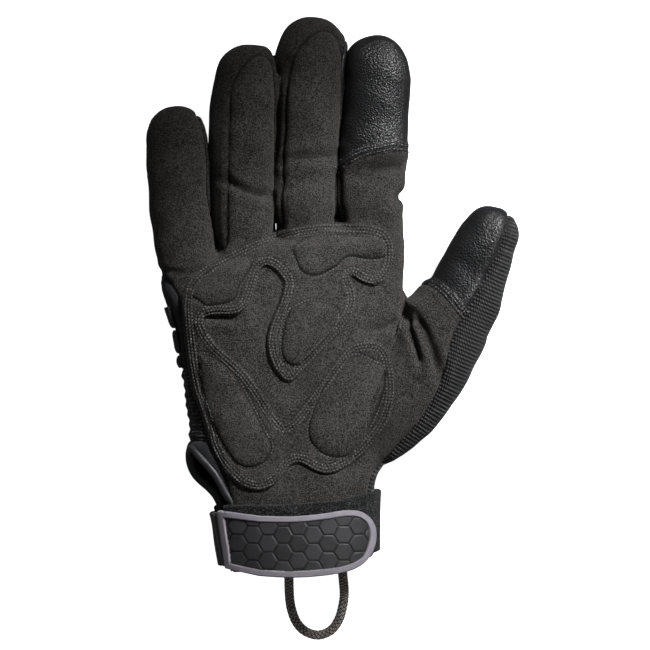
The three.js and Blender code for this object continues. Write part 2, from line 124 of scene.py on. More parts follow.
class Finish:
    """One material of the glove: a Principled surface and the nodes that feed it."""

    def __init__(self, name, roughness=0.5, specular=0.5, sheen=0.0, sheen_roughness=0.5):
        self.material = bpy.data.materials.new(name)
        self.material.use_nodes = True
        self.nodes = self.material.node_tree.nodes
        self.links = self.material.node_tree.links
        self.surface = self.nodes["Principled BSDF"]
        self.set({"Roughness": roughness, "Specular IOR Level": specular, "Sheen Weight": sheen,
                  "Sheen Roughness": sheen_roughness})

    def set(self, constants):
        for socket, value in constants.items():
            self.surface.inputs[socket].default_value = value

    def node(self, kind, settings={}, sockets={}, output=0):
        made = self.nodes.new(kind)
        for setting, value in settings.items():
            setattr(made, setting, value)
        for socket, value in sockets.items():
            if isinstance(value, Thread):
                self.links.new(value.socket, made.inputs[socket])
            else:
                made.inputs[socket].default_value = value
        return Thread(self, made.outputs[output])

    def place(self, stretch=(1, 1, 1)):
        """Object coordinates in millimetres, stretched along the three axes."""
        here = self.node("ShaderNodeTexCoord", output=3)
        scale = [factor / MM for factor in stretch]
        return self.node("ShaderNodeVectorMath", {"operation": "MULTIPLY"}, {0: here, 1: scale})

    def across_and_along(self):
        """The x and the y of a spot, in millimetres."""
        split = self.node("ShaderNodeSeparateXYZ", {}, {0: self.place()})
        return split, Thread(self, split.socket.node.outputs["Y"])

    def mark(self, name):
        """A value that the mesh carries at its points."""
        return self.node("ShaderNodeAttribute", {"attribute_name": name}, output=2)

    def noise(self, size, detail=2, roughness=0.5, stretch=(1, 1, 1)):
        """Noise between 0 and 1 whose lumps are about size millimetres wide."""
        sockets = {"Vector": self.place(stretch), "Scale": 1 / size, "Detail": detail,
                   "Roughness": roughness}
        return self.node("ShaderNodeTexNoise", {}, sockets)

    def dress(self, shade, dark, light, height, depth, roughness=None):
        """Colours the surface from dark to light and bumps it, by heights that are depth mm for 1."""
        colours = {0: shade, 6: (*dark, 1), 7: (*light, 1)}
        bumps = {"Height": height, "Distance": depth * MM, "Strength": 1.0}
        threads = {"Base Color": self.node("ShaderNodeMix", {"data_type": "RGBA"}, colours, output=2),
                   "Normal": self.node("ShaderNodeBump", {}, bumps)}
        if roughness:
            threads["Roughness"] = roughness
        for socket, thread in threads.items():
            self.links.new(thread.socket, self.surface.inputs[socket])


def piece(name, points, faces, material, slot=None, replaced=(), values={}):
    """A smooth mesh object from points in millimetres and groups of faces, one array to a group."""
    mesh = bpy.data.meshes.new(name)
    loops = np.concatenate([np.asarray(group).ravel() for group in faces])
    sizes = np.concatenate([np.full(len(group), len(group[0])) for group in faces])
    mesh.vertices.add(len(points))
    mesh.vertices.foreach_set("co", (np.asarray(points) * MM).ravel())
    mesh.loops.add(len(loops))
    mesh.loops.foreach_set("vertex_index", loops.astype(np.int32))
    mesh.polygons.add(len(sizes))
    mesh.polygons.foreach_set("loop_start", (np.cumsum(sizes) - sizes).astype(np.int32))
    mesh.update(calc_edges=True)
    mesh.validate()
    mesh.shade_smooth()
    for key, numbers in values.items():
        layer = mesh.attributes.new(key, "FLOAT", "POINT")
        layer.data.foreach_set("value", np.asarray(numbers, dtype=np.float32))
    mesh.materials.append(material)
    made = bpy.data.objects.new(name, mesh)
    studio.collection.objects.link(made)
    if slot:
        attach(made, "root")
    if replaced:
        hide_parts(*replaced)
    return made


paper = Finish("white_paper", 0.9)
paper.set({"Base Color": (0.93, 0.93, 0.93, 1), "Emission Color": (1, 1, 1, 1),
           "Emission Strength": 1.0})
floor_corners = [(FLOOR_HALF * x, FLOOR_HALF * y, 0) for x, y in ((-1, -1), (1, -1), (1, 1), (-1, 1))]
floor = piece("floor", floor_corners, [[(0, 1, 2, 3)]], paper.material)
floor.visible_diffuse = False
floor.visible_glossy = False


# Pull cord
# A black braided cord, doubled into a loop. Both ends are sewn inside the hem over the back panel,
# and the loop lies on the surface. Its strands are plaited, five each way round the cord.
CORD_RADIUS = 2.15
CORD_STEP = 0.3
CORD_PATH = [
    (-18.9, -106, 10.4), (-18.9, -115, 10.4), (-18.9, -123.5, 10.2), (-18.7, -134.3, 3.0),
    (-17.8, -140.6, 2.15), (-15.6, -146.3, 2.15), (-11.7, -150.3, 2.15), (-5.9, -152, 2.15),
    (-0.2, -149.8, 2.15), (3.3, -145, 2.15), (5.1, -138.8, 2.2), (5.7, -133.1, 3.0),
    (4.9, -123.5, 11.6), (4.6, -115, 12.0), (4.6, -106, 12.0),
]
STRANDS_EACH_WAY = 5
PLAIT_PITCH = 9.5  # length in which a strand goes once round the cord
PLAIT_DIP = 0.45  # how far the cord sinks between two strands
CORD_AROUND = 64


def through(rows, steps):
    """A smooth curve through the rows of a table, with so many steps between each two."""
    rows = np.array(rows, dtype=float)
    ends = np.vstack([2 * rows[0] - rows[1], rows, 2 * rows[-1] - rows[-2]])
    t = np.linspace(0, 1, steps, endpoint=False)[:, None]
    spans = []
    for a, b, c, d in zip(ends, ends[1:], ends[2:], ends[3:]):
        cubic = (-a + 3 * b - 3 * c + d) * t**3 + (2 * a - 5 * b + 4 * c - d) * t**2
        spans.append((cubic + (c - a) * t + 2 * b) / 2)
    return np.vstack(spans + [rows[-1:]])


def lengths_along(line):
    steps = np.linalg.norm(np.diff(line, axis=0), axis=1)
    return np.concatenate([[0], np.cumsum(steps)])


def evenly(line, spacing):
    """The same line with its points so many millimetres apart."""
    run = lengths_along(line)
    stations = np.linspace(0, run[-1], max(2, int(round(run[-1] / spacing)) + 1))
    return np.stack([np.interp(stations, run, line[:, k]) for k in range(line.shape[1])], axis=1)


def unit(vectors):
    return vectors / np.maximum(np.linalg.norm(vectors, axis=-1, keepdims=True), 1e-9)


def tube_faces(count, around):
    """The quads and the two end faces of a closed tube of count rings."""
    row = np.arange(count - 1)[:, None] * around
    col = np.arange(around)[None]
    turn = (col + 1) % around
    quads = np.stack([row + col, row + turn, row + around + turn, row + around + col], axis=-1)
    start = np.arange(around)[::-1]
    return [quads.reshape(-1, 4), np.array([start, (count * around - 1) - start[::-1]])]


cord_curve = through(CORD_PATH, 12)
cord_line = evenly(cord_curve, CORD_STEP)
cord_along = unit(np.gradient(cord_line, axis=0))
cord_side = unit(np.cross(cord_along, [0, 0, 1]))
cord_rise = np.cross(cord_side, cord_along)
cord_turns = np.linspace(0, 2 * pi, CORD_AROUND, endpoint=False)[None, :]
twist = lengths_along(cord_line)[:, None] * 2 * pi / PLAIT_PITCH
one_way = np.abs(np.sin(STRANDS_EACH_WAY * (cord_turns + twist)))
other_way = np.abs(np.sin(STRANDS_EACH_WAY * (cord_turns - twist)))
over = np.sin(STRANDS_EACH_WAY * cord_turns) * np.sin(STRANDS_EACH_WAY * twist) > 0
strand = np.sqrt(np.where(over, one_way, other_way))
cord_radius = CORD_RADIUS - PLAIT_DIP * (1 - strand)
cord_points = (
    cord_line[:, None, :]
    + cord_side[:, None, :] * (cord_radius * np.cos(cord_turns))[..., None]
    + cord_rise[:, None, :] * (cord_radius * np.sin(cord_turns))[..., None]
).reshape(-1, 3)
cord_points[:, 2] = np.maximum(cord_points[:, 2], 0)

braid = Finish("braided_cord", 0.75)
crown = braid.mark("crown")
# The cord is painted lighter on its strands' crowns and darker between them, painted highlight and
# shade; the noise gives it pale flecks of its own.
cord_shade = crown * crown * crown * 2.2 + (braid.noise(1.3, 3) - 0.5) * 1.6 - 1.2
braid.dress(cord_shade, (0.001, 0.001, 0.001), (0.3, 0.262, 0.24), braid.noise(0.25, 3), 0.12)
cord = piece("pull_cord", cord_points, tube_faces(len(cord_line), CORD_AROUND), braid.material,
             "cord", ["cord_loop"], {"crown": strand.ravel()})


# Sewn shell
# The body of the glove is cut from suede, leather, knit and stretch cloth, each with its lining
# 1.8 mm thick, and sewn edge to edge along seams that sink into the surface.
WALL = 1.8
SEAM = 0.14  # air between two sewn edges
SEAM_PALM = 13.5  # height of the seam between palm side and back
SEAM_BACK = 8.5  # height of the seam between the finger side strips and the back
SEAM_THUMB = 16  # height of the seam between the thumb's suede and its knit
TOP = 70  # above all of the hand
VOXEL = 0.85  # fineness of the form
SKIN = 1.0  # the hand is formed so much smaller first, so that neighbouring fingers stay apart
SMOOTHED_OFF = 0.2  # what the smoothing of the form takes off
SLANT_PIVOT = -10  # where a slanted section has its own y
# One row a section across the hand: y, left, right, bottom, top, slant, boxy
PALM = [
    (-118.8, -44.6, 18.2, 5.8, 42.5, 0.108, 3.2), (-88, -49.4, 19.0, 4.6, 41.0, 0.12, 3.0),
    (-75, -60.6, 23.4, 1.6, 38.0, 0.06, 2.8), (-64, -62.0, 28.5, -0.4, 37.0, 0, 2.6),
    (-42, -65.2, 33.8, -1.5, 37.0, 0, 2.6), (-20, -68.2, 34.8, -1.5, 37.5, 0, 2.6),
    (0, -72.6, 31.8, -1.5, 36.0, 0.08, 2.6), (14, -75.4, 31.6, -1.0, 31.0, 0.17, 2.6),
    (23, -73.0, 30.6, 0.5, 27.0, 0.23, 2.4), (26.5, -68.0, 27.0, 4.5, 22.5, 0.23, 2.2),
]
# Centre line of each digit, with its half width and half height; the last row is the tip itself
DIGITS = {
    "pinky": [
        (-60.0, 0, 14.5, 13.0, 11.5), (-62.3, 13, 14.2, 13.4, 12.2), (-65.6, 30, 13.8, 13.4, 11.4),
        (-66.9, 43, 14.0, 13.4, 11.8), (-67.6, 56, 14.6, 13.6, 11.6), (-68.2, 67, 15.6, 13.4, 11.4),
        (-69.6, 81.6, 17.2, 0, 0),
    ],
    "ring": [
        (-36.7, 8, 15.5, 13.0, 12.0), (-38.0, 27, 14.6, 13.6, 12.4), (-39.1, 41, 14.0, 13.9, 11.9),
        (-39.6, 48.6, 13.8, 13.9, 10.8), (-39.5, 58, 14.2, 14.5, 12.0), (-39.3, 70, 14.8, 15.0, 12.4),
        (-38.7, 82, 15.6, 14.7, 12.2), (-36.7, 93, 16.8, 14.7, 11.8), (-35.9, 109.8, 19.0, 0, 0),
    ],
    "middle": [
        (-9.9, 12, 15.5, 13.0, 12.0), (-11.0, 31, 14.6, 13.8, 12.6), (-11.3, 46, 14.2, 14.0, 12.0),
        (-10.9, 57, 13.8, 13.6, 11.0), (-9.9, 70, 14.4, 13.9, 12.2), (-9.2, 84, 15.2, 14.4, 12.4),
        (-9.2, 93, 16.0, 15.2, 12.2), (-9.1, 103, 17.2, 15.5, 12.0), (-6.8, 121.9, 20.0, 0, 0),
    ],
    "index": [
        (17.4, 10, 15.5, 13.8, 12.0), (17.4, 32, 14.8, 14.4, 12.6), (15.8, 44, 14.2, 13.6, 11.4),
        (17.1, 50.5, 13.8, 14.6, 11.2), (18.3, 60, 14.4, 14.8, 12.4), (19.2, 78, 15.4, 14.3, 12.4),
        (20.6, 96, 17.4, 14.2, 11.8), (15.6, 112.4, 20.0, 0, 0),
    ],
    "thumb": [
        (5.0, -67, 18.0, 13.0, 12.0), (20.0, -57.2, 18.5, 17.6, 15.5), (34.2, -42.4, 19.2, 19.0, 17.2),
        (45.6, -24.2, 20.2, 19.2, 17.0), (51.5, -11.3, 21.0, 18.9, 15.6),
        (58.0, -2.8, 21.8, 16.4, 14.0),
        (62.2, 8.8, 22.8, 14.9, 13.2), (66.7, 19.8, 24.0, 13.4, 12.6), (70.5, 26.8, 25.0, 12.3, 12.0),
        (75.2, 35.4, 26.6, 0, 0),
    ],
}
DIGIT_POWER = 2.2  # 2 is an ellipse, and more is boxier
PALM_POWER = 2.3
FORM_TURNS = 72
PAST_HEM = 9  # the tube runs on so far, and is cut off at the hem


def signed_power(value, power):
    return np.sign(value) * np.abs(value) ** (2 / power)


def palm_surface(rows, turns, offset):
    """Points on the palm's tube, so many millimetres outside the shell: a grid of rows by turns."""
    y, left, right, bottom, top, slant, boxy = (rows[:, k, None] for k in range(7))
    across, up = np.cos(turns)[None], np.sin(turns)[None]
    power = np.where(up < 0, boxy, PALM_POWER)
    x = (left + right) / 2 + ((right - left) / 2 + offset) * signed_power(across, power)
    z = (top + bottom) / 2 + ((top - bottom) / 2 + offset) * signed_power(up, power)
    return np.stack([x, y + slant * (x - SLANT_PIVOT), np.maximum(z, -offset)], axis=-1)


def digit_surface(rows, turns, offset):
    """Points on a digit's tube, with its rounded tip."""
    full = through(rows[:-1], 6)
    centres, halves = full[:, :3], full[:, 3:] + offset
    along = unit(np.gradient(centres, axis=0))
    cap = np.array(rows[-1][:3]) - centres[-1]
    cap *= 1 + offset / np.linalg.norm(cap)
    bend = np.radians([8, 16, 24, 32, 40, 48, 56, 64, 71, 77, 82, 86, 89])[:, None]
    centres = np.vstack([centres, centres[-1] + cap * np.sin(bend)])
    halves = np.vstack([halves, halves[-1] * np.cos(bend) ** 0.8])
    along = np.vstack([along, np.repeat(unit(cap)[None], len(bend), axis=0)])
    side = unit(np.cross(along, [0, 0, 1]))
    rise = np.cross(side, along)
    across = signed_power(np.cos(turns), DIGIT_POWER)[None, :, None] * halves[:, None, :1]
    up = signed_power(np.sin(turns), DIGIT_POWER)[None, :, None] * halves[:, None, 1:]
    points = centres[:, None] + side[:, None] * across + rise[:, None] * up
    points[..., 2] = np.maximum(points[..., 2], -offset)
    return points


past_hem = [(PALM[0][0] - PAST_HEM, *PALM[0][1:])]
palm_rows = through(past_hem + PALM, 8)
full_turn = np.linspace(0, 2 * pi, FORM_TURNS, endpoint=False)
tubes = [palm_surface(palm_rows, -full_turn, -SKIN)]
tubes += [digit_surface(rows, full_turn, -SKIN) for rows in DIGITS.values()]
form_points = np.vstack([tube.reshape(-1, 3) for tube in tubes])
form_faces = []
used = 0
for tube in tubes:
    form_faces += [group + used for group in tube_faces(len(tube), tube.shape[1])]
    used += tube.shape[0] * tube.shape[1]
form = piece("form", form_points, form_faces, paper.material)
voxels = form.modifiers.new("voxels", "REMESH")
voxels.mode = "VOXEL"
voxels.voxel_size = VOXEL * MM
relax = form.modifiers.new("relax", "SMOOTH")
relax.factor = 0.5
relax.iterations = 10
evaluated = form.evaluated_get(bpy.context.evaluated_depsgraph_get())
formed = evaluated.to_mesh()
formed.calc_loop_triangles()
shell_points = np.empty(len(formed.vertices) * 3)
formed.vertices.foreach_get("co", shell_points)
shell_points = shell_points.reshape(-1, 3) / MM
shell_triangles = np.empty(len(formed.loop_triangles) * 3, dtype=np.int32)
formed.loop_triangles.foreach_get("vertices", shell_triangles)
shell_triangles = shell_triangles.reshape(-1, 3)
evaluated.to_mesh_clear()
bpy.data.objects.remove(form)


def normals_of(points, triangles):
    corners = points[triangles]
    flat = np.cross(corners[:, 1] - corners[:, 0], corners[:, 2] - corners[:, 0])
    ends = triangles.ravel()
    sums = [np.bincount(ends, np.repeat(flat[:, k], 3), len(points)) for k in range(3)]
    return unit(np.stack(sums, axis=1))


def rounded(outline, closed=True):
    """The outline with its corners cut three times, which leaves a smooth line."""
    line = np.array(outline, dtype=float)
    for _ in range(3):
        after = np.roll(line, -1, axis=0) if closed else line[1:]
        before = line if closed else line[:-1]
        fresh = np.stack([0.75 * before + 0.25 * after, 0.25 * before + 0.75 * after], axis=1)
        fresh = fresh.reshape(-1, 2)
        line = fresh if closed else np.vstack([line[:1], fresh, line[-1:]])
    return line


def segments(line, closed):
    ends = np.roll(line, -1, axis=0) if closed else line[1:]
    return zip(line if closed else line[:-1], ends)


def away_from(flat, line, closed=False):
    """How far points of a plane are from a line."""
    x, y = flat[:, 0], flat[:, 1]
    nearest = np.full(len(flat), 1e3)
    for (ax, ay), (bx, by) in segments(line, closed):
        ex, ey = bx - ax, by - ay
        part = np.clip(((x - ax) * ex + (y - ay) * ey) / max(ex * ex + ey * ey, 1e-9), 0, 1)
        nearest = np.minimum(nearest, np.hypot(x - ax - part * ex, y - ay - part * ey))
    return nearest


def hill(far, wide):
    """1 on a line, and falling to 0 on both sides of it."""
    return np.exp(-((far / wide) ** 2))


def depth_in(flat, outline):
    """How far points of a plane lie inside a closed outline; negative outside it."""
    x, y = flat[:, 0], flat[:, 1]
    within = np.zeros(len(flat), dtype=bool)
    for (ax, ay), (bx, by) in segments(outline, True):
        if ay != by:
            within ^= ((ay > y) != (by > y)) & (x < (bx - ax) * (y - ay) / (by - ay) + ax)
    far = away_from(flat, outline, True)
    return np.where(within, far, -far)


shell_points += (SKIN + SMOOTHED_OFF) * normals_of(shell_points, shell_triangles)
shell_points[:, 2] = np.maximum(shell_points[:, 2], 0)

# Seam lines seen from above
THUMB_SEAM = [
    (79.5, 41), (76.6, 32), (74.8, 22.7), (68.0, 8.2), (63.8, 1.1), (57.0, -10.3), (52.9, -18.7),
    (50.4, -29), (48.0, -39.8), (42, -52), (34.1, -62.3), (21.5, -75.0), (15.6, -83), (13.5, -126),
]
KNIT_UNDERSIDE = [
    (-2, -126), (2, -92), (9, -72), (21, -48), (30, -22), (33.6, -7), (44, 8), (66, 60),
    (110, 60), (110, -126),
]
THUMB_CAP_SEAM = [(42.5, 3.7), (46.9, 2.0), (57.0, -10.3)]
INDEX_CAP_SEAM = [(3.6, 53.4), (7.4, 57.2), (13.6, 60.5), (20.8, 62.1), (27.5, 63.6), (36, 62.2)]
PALM_EDGE = [
    (-42.5, -126), (-44.0, -90), (-47.5, -76.8), (-51.7, -68.4), (-54.6, -60), (-59.6, -46.4),
    (-62.3, -36.7), (-64.0, -23.1), (-65.4, -8), (-68.4, 1.1), (-73.0, 7.0), (-79.0, 11.5),
    (-84, 17), (-84, 86), (-64, 85.5), (-58.0, 76.8), (-55.5, 67), (-54.9, 50), (-53.6, 35),
    (-51.6, 25), (-49.6, 18.5), (-46.8, 20.5), (-45.6, 30), (-44.8, 88), (-42.6, 94.6),
    (-36.7, 101.9), (-32.8, 105.1), (-29.3, 104.7), (-26.6, 102), (-24.9, 96), (-24.7, 74),
    (-25.6, 50), (-25.2, 34), (-23.4, 27.6), (-21.8, 31), (-21.4, 50), (-20.0, 88), (-18.4, 100),
    (-15.8, 104.6), (-13.1, 109.3), (-7.6, 113.8), (-3.5, 115.6), (0.6, 114), (3.6, 109.3),
    (5.2, 100), (4.8, 88), (3.4, 64), (1.6, 48), (2.2, 34), (3.8, 30.4), (5.0, 35), (4.2, 45),
    (4.4, 60), (14, 72), (35, 72), (33.8, 50), (33.0, 20), (31.8, 2), (32.4, -7), (34.4, -1),
    (40.6, 6), (60, 10), (90, -20), (60, -126),
]
ULNAR_GUSSET = [(-90, -65), (-40, -65), (-40, -33.5), (-90, -33.5)]
# The cloths in the order in which they keep their ground: outline, lowest z, highest z
CLOTHS = {
    "thumb_knit": [(THUMB_SEAM + [(110, -126), (110, 60), (79.5, 60)], SEAM_THUMB, TOP),
                   (KNIT_UNDERSIDE, -5, SEAM_THUMB)],
    "thumb_tip": [(THUMB_CAP_SEAM + [(92, -10), (92, 60), (36, 60), (36, 3.7)], 0, TOP)],
    "index_tip": [(INDEX_CAP_SEAM + [(36, 130), (4.7, 130)], SEAM_BACK, TOP)],
    "palm": [(PALM_EDGE, SEAM_PALM, TOP)],
    "strip_pinky_ring": [([(-67, 12), (-38, 15), (-38, 97), (-23.2, 97), (-24.9, 102.5), (-29, 116),
                           (-62, 116), (-67, 72)], SEAM_BACK, TOP)],
    "strip_ring_middle": [([(-37.6, 18), (-9, 22), (-9, 108), (8, 108), (8, 130), (-30, 130),
                            (-37.6, 97)], SEAM_BACK, TOP)],
    "strip_middle_index": [([(-8.6, 22), (18, 24), (18, 70), (-8.6, 108)], SEAM_BACK, TOP)],
    "ulnar_gusset": [(ULNAR_GUSSET, 6, TOP)],
}
# The cloths whose outlines keep their corners
STRAIGHT = ("strip_pinky_ring", "strip_ring_middle", "strip_middle_index", "ulnar_gusset")
# The wrist slit seen from the outer edge of the hand: y, z
SLIT_SIDE = -25  # it lies left of this x
SLIT = [(-66, 27.5), (-78, 32), (-90, 33), (-126, 32), (-126, 21), (-90, 20), (-78, 21.5)]


def least(*fields):
    return np.minimum.reduce(fields)


def ground(points, blocks, straight):
    """How far points lie inside the union of some blocks of space."""
    inside = np.full(len(points), -1e3)
    for outline, low, high in blocks:
        line = np.array(outline, dtype=float) if straight else rounded(outline)
        depth = depth_in(points[:, :2], line)
        inside = np.maximum(inside, least(depth, points[:, 2] - low, high - points[:, 2]))
    return inside


def on_surface(points, triangles, field):
    """A field in space divided by its slope along the surface: the distance along the surface."""
    corners = points[triangles]
    heights = field[triangles]
    side_a, side_b = corners[:, 1] - corners[:, 0], corners[:, 2] - corners[:, 0]
    normal = np.cross(side_a, side_b)
    size = np.maximum((normal**2).sum(1), 1e-9)[:, None]
    rise_a, rise_b = heights[:, 1] - heights[:, 0], heights[:, 2] - heights[:, 0]
    slope = np.cross(side_b, normal) * rise_a[:, None] + np.cross(normal, side_a) * rise_b[:, None]
    steep = np.linalg.norm(slope / size, axis=1)
    ends = triangles.ravel()
    mean = np.bincount(ends, np.repeat(steep, 3), len(points)) / np.maximum(np.bincount(ends), 1)
    return field / np.clip(mean, 0.15, 1.0)


grounds = {name: ground(shell_points, blocks, name in STRAIGHT) for name, blocks in CLOTHS.items()}
hem_y, hem_slant = PALM[0][0], PALM[0][5]
hem = shell_points[:, 1] - hem_slant * (shell_points[:, 0] - SLANT_PIVOT) - hem_y
slit_depth = depth_in(shell_points[:, 1:], rounded(SLIT))
slit_room = np.where(shell_points[:, 0] < SLIT_SIDE, slit_depth, -99)

# Folds pressed into the cloth: how deep, how wide, how high the cloth swells beside it, its line.
# A ridge has a negative depth.
# Sharp folds also get painted shade: the suede is painted darker inside them.
SHARP_DEEP, SHARP_WIDE = 1, 3  # a deeper and narrower fold is dark inside
FOLDS = [
    (0.7, 1.1, 0.3, [(-78, 10.4), (-73.3, 9.9), (-65.8, 8.6), (-58, 8.9)]),
    (1.9, 1.6, 0.5, [(-47, 49.6), (-44.3, 48.4), (-40.3, 46.2), (-35.9, 44.5), (-30.6, 43.1),
                     (-26.5, 42.4)]),
    (-1.2, 3.4, 0, [(-36, 50.4), (-32, 49.6), (-28, 49)]),
    (0.5, 3.0, 0.2, [(-50, 52), (-46, 49), (-40, 50)]),
    (1.1, 1.7, 0.5, [(-20, 58.0), (-14, 60.0), (-7, 59.6), (3.5, 61.2)]),
    (-0.7, 3.4, 0, [(-16, 55.5), (-7, 54.6), (0, 56.5)]),
    (0.6, 3.5, 0.3, [(-19, 50), (-12, 47.5), (2, 49)]),
    (1.7, 2.6, 0.4, [(13, 52.8), (19.9, 54.4), (27.1, 55.9), (33, 55.4)]),
    (1.2, 1.6, 0.4, [(35, 44.5), (29.8, 42.6), (25, 39.5)]),
    (2.6, 1.3, 0.45, [(32, -7.6), (33.0, -11.5), (34.3, -16.2), (36.8, -23.8), (38.5, -29.7),
                      (38.9, -33)]),
    (2.4, 1.8, 0.45, [(35.4, -9.5), (40.3, -15.3), (44, -24.6), (46.1, -30.6), (47, -37)]),
    (1.5, 2.2, 0.6, [(16, -17), (22.7, -14.3), (28, -11.5), (34, -9.6)]),
    (1.2, 1.6, 0.4, [(-58, -9.3), (-50, -10.4), (-40.3, -11.2)]),
    (0.8, 1.8, 0.2, [(-13, 107.2), (-9.5, 107.9), (-6, 107.4)]),
    (0.6, 4.0, 0.3, [(-75, 44), (-66, 41), (-58, 43)]),
    (0.6, 3.5, 0.3, [(-46, 78), (-38, 75.5), (-29, 77)]),
    (2.0, 5.5, 0.4, [(-47, 18), (-34, 24), (-20, 28.5), (0, 31), (20, 31.5), (34, 29)]),
]
shell_normals = normals_of(shell_points, shell_triangles)
sink = np.zeros(len(shell_points))
# creased drives painted shade: the cloth is painted darker near a sharp fold.
creased = np.full(len(shell_points), 9.0)  # how far off a sharp fold is, which darkens the cloth
facing_up = np.clip(shell_normals[:, 2] * 3 + 0.6, 0, 1)
for deep, wide, swell, line in FOLDS:
    far = away_from(shell_points[:, :2], rounded(line, closed=False))
    ends = np.array([line[0], line[-1]])
    toward_end = np.minimum(*[np.hypot(*(shell_points[:, :2] - end).T) for end in ends])
    fade = np.clip(toward_end / 4, 0.25, 1) * facing_up
    if deep > SHARP_DEEP and wide < SHARP_WIDE:
        creased = np.minimum(creased, 0.3 + far / wide / deep + 2 * (1 - fade))
    sink += fade * (deep * hill(far, wide) - swell * hill(far - 2.6 * wide, 1.3 * wide))

# No cloth lies quite even
WAVES = 26
WAVE_STEEP = 0.0035
waves = np.random.default_rng(11)
headings = unit(waves.normal(size=(WAVES, 3)))
pitches = waves.uniform(9, 26, WAVES)
phases = waves.uniform(0, 2 * pi, WAVES)
for heading, pitch, phase in zip(headings, pitches, phases):
    sink += WAVE_STEEP * pitch * np.sin(shell_points @ heading * 2 * pi / pitch + phase)

# The cloth stands out a little above the wrist slit
SLIT_SWELL = 2.2
SWELL_FROM, SWELL_CENTRE = -50, -69  # the x where it starts and the y where it is highest
swell_near = hill(shell_points[:, 1] - SWELL_CENTRE, 8.5)
sink -= SLIT_SWELL * (swell_near * np.clip((SWELL_FROM - shell_points[:, 0]) / 8, 0, 1))
# Seams draw the cloth in, and it swells a little beside them
SEAM_SINK = 0.95
SEAM_WIDE = 0.65
SEAM_SWELL = 0.35
LAPPED = ("thumb_tip", "index_tip")
LAP = 1.3  # a lapped seam's groove lies so far off
seam_free = np.ones(len(shell_points), dtype=bool)
closest_seam = np.full(len(shell_points), 99.0)
for name, inside in grounds.items():
    far = np.abs(on_surface(shell_points, shell_triangles, inside)) + (LAP if name in LAPPED else 0)
    closest_seam = np.where(seam_free, np.minimum(closest_seam, far), closest_seam)
    seam_free &= inside < 0
sink += SEAM_SINK * hill(closest_seam, SEAM_WIDE)
sink -= SEAM_SWELL * hill(closest_seam - 3.2, 1.6)
# The knit at the outer edge of the hand is gathered in short ribs
GATHER_DEEP = 0.55
GATHER_PITCH = 4.3
gathers = np.clip(np.minimum(grounds["ulnar_gusset"], -grounds["palm"]), 0, 1.5) / 1.5
sink += gathers * GATHER_DEEP * (0.5 + 0.5 * np.cos(2 * pi * shell_points[:, 1] / GATHER_PITCH))
shell_points -= shell_normals * sink[:, None]
shell_points[:, 2] = np.maximum(shell_points[:, 2], 0)
shell_normals = normals_of(shell_points, shell_triangles)


def clipped(values, triangles, height):
    """Cuts a triangle sheet where height is 0 and keeps the side where it is positive."""
    up = height > 0
    count = up[triangles].sum(axis=1)
    one, two = triangles[count == 1], triangles[count == 2]
    turned = (np.argmax(up[one], axis=1)[:, None] + np.arange(3)) % 3
    one = np.take_along_axis(one, turned, axis=1)
    turned = (np.argmin(up[two], axis=1)[:, None] + np.arange(3)) % 3
    two = np.take_along_axis(two, turned, axis=1)
    edges = np.concatenate([one[:, [0, 1]], one[:, [0, 2]], two[:, [0, 1]], two[:, [0, 2]]])
    edges = np.sort(edges, axis=1).astype(np.int64)
    keys, inverse = np.unique(edges[:, 0] * len(values) + edges[:, 1], return_inverse=True)
    a, b = keys // len(values), keys % len(values)
    part = (height[a] / (height[a] - height[b]))[:, None]
    fresh = values[a] + part * (values[b] - values[a])
    ids = len(values) + inverse.ravel()
    bounds = np.cumsum([len(one), len(one), len(two)])
    one_b, one_c, two_b, two_c = np.split(ids, bounds)
    kept = np.vstack([
        triangles[count == 3],
        np.stack([one[:, 0], one_b, one_c], axis=1),
        np.stack([two_b, two[:, 1], two[:, 2]], axis=1),
        np.stack([two_b, two[:, 2], two_c], axis=1),
    ])
    used, renumbered = np.unique(kept, return_inverse=True)
    return np.vstack([values, fresh])[used], renumbered.reshape(-1, 3)


def thickened(outer, inner, triangles):
    """A closed body from a sheet and the same sheet moved in."""
    count = len(outer)
    around = np.vstack([triangles[:, pair] for pair in ([0, 1], [1, 2], [2, 0])]).astype(np.int64)
    keys = around[:, 0] * count + around[:, 1]
    free = around[~np.isin(keys, around[:, 1] * count + around[:, 0])]
    walls = np.stack([free[:, 1], free[:, 0], free[:, 0] + count, free[:, 1] + count], axis=1)
    return np.vstack([outer, inner]), [triangles, triangles[:, ::-1] + count, walls]


# One row a point: its place, its normal, these three fields, and how far inside each cloth it is
HEM, SLIT_ROOM, SEAM_FAR, FIRST_CLOTH = 6, 7, 8, 9
# SEAM_FAR is how far a point is from the nearest seam or sharp fold; the suede is painted darker near
# it, painted shade.
fields = [hem, slit_room, np.minimum(closest_seam, creased), *grounds.values()]
left = np.hstack([shell_points, shell_normals, np.stack(fields, axis=1)])
left, left_triangles = clipped(left, shell_triangles, left[:, HEM])
left, left_triangles = clipped(left, left_triangles, -left[:, SLIT_ROOM])
cloths = {}
for column, name in enumerate(CLOTHS, start=FIRST_CLOTH):
    cloths[name] = clipped(left, left_triangles, left[:, column])
    left, left_triangles = clipped(left, left_triangles, -SEAM - left[:, column])
cloths["back"] = (left, left_triangles)


def cloth_piece(name, label, finish, slot, node, marks={}, lift=0):
    """One cut cloth of the shell with its lining, as a closed body."""
    values, triangles = cloths[name]
    outer = values[:, :3] + lift * values[:, 3:6]
    inner = values[:, :3] - WALL * values[:, 3:6]
    points, faces = thickened(outer, inner, triangles)
    # The distance to the nearest seam or sharp fold is kept for the painted shade of the suede there.
    kept = {"seam_shade_far": values[:, SEAM_FAR], **marks}
    kept = {key: np.tile(numbers, 2) for key, numbers in kept.items()}
    return piece(label, points, faces, finish.material, slot, [node], kept)


# Suede palm and finger sides
# Synthetic suede with a short nap, sewn edge to edge with the seams turned in: the palm is one
# piece with the fronts of the fingers, and three strips run between the fingers and over two tips.


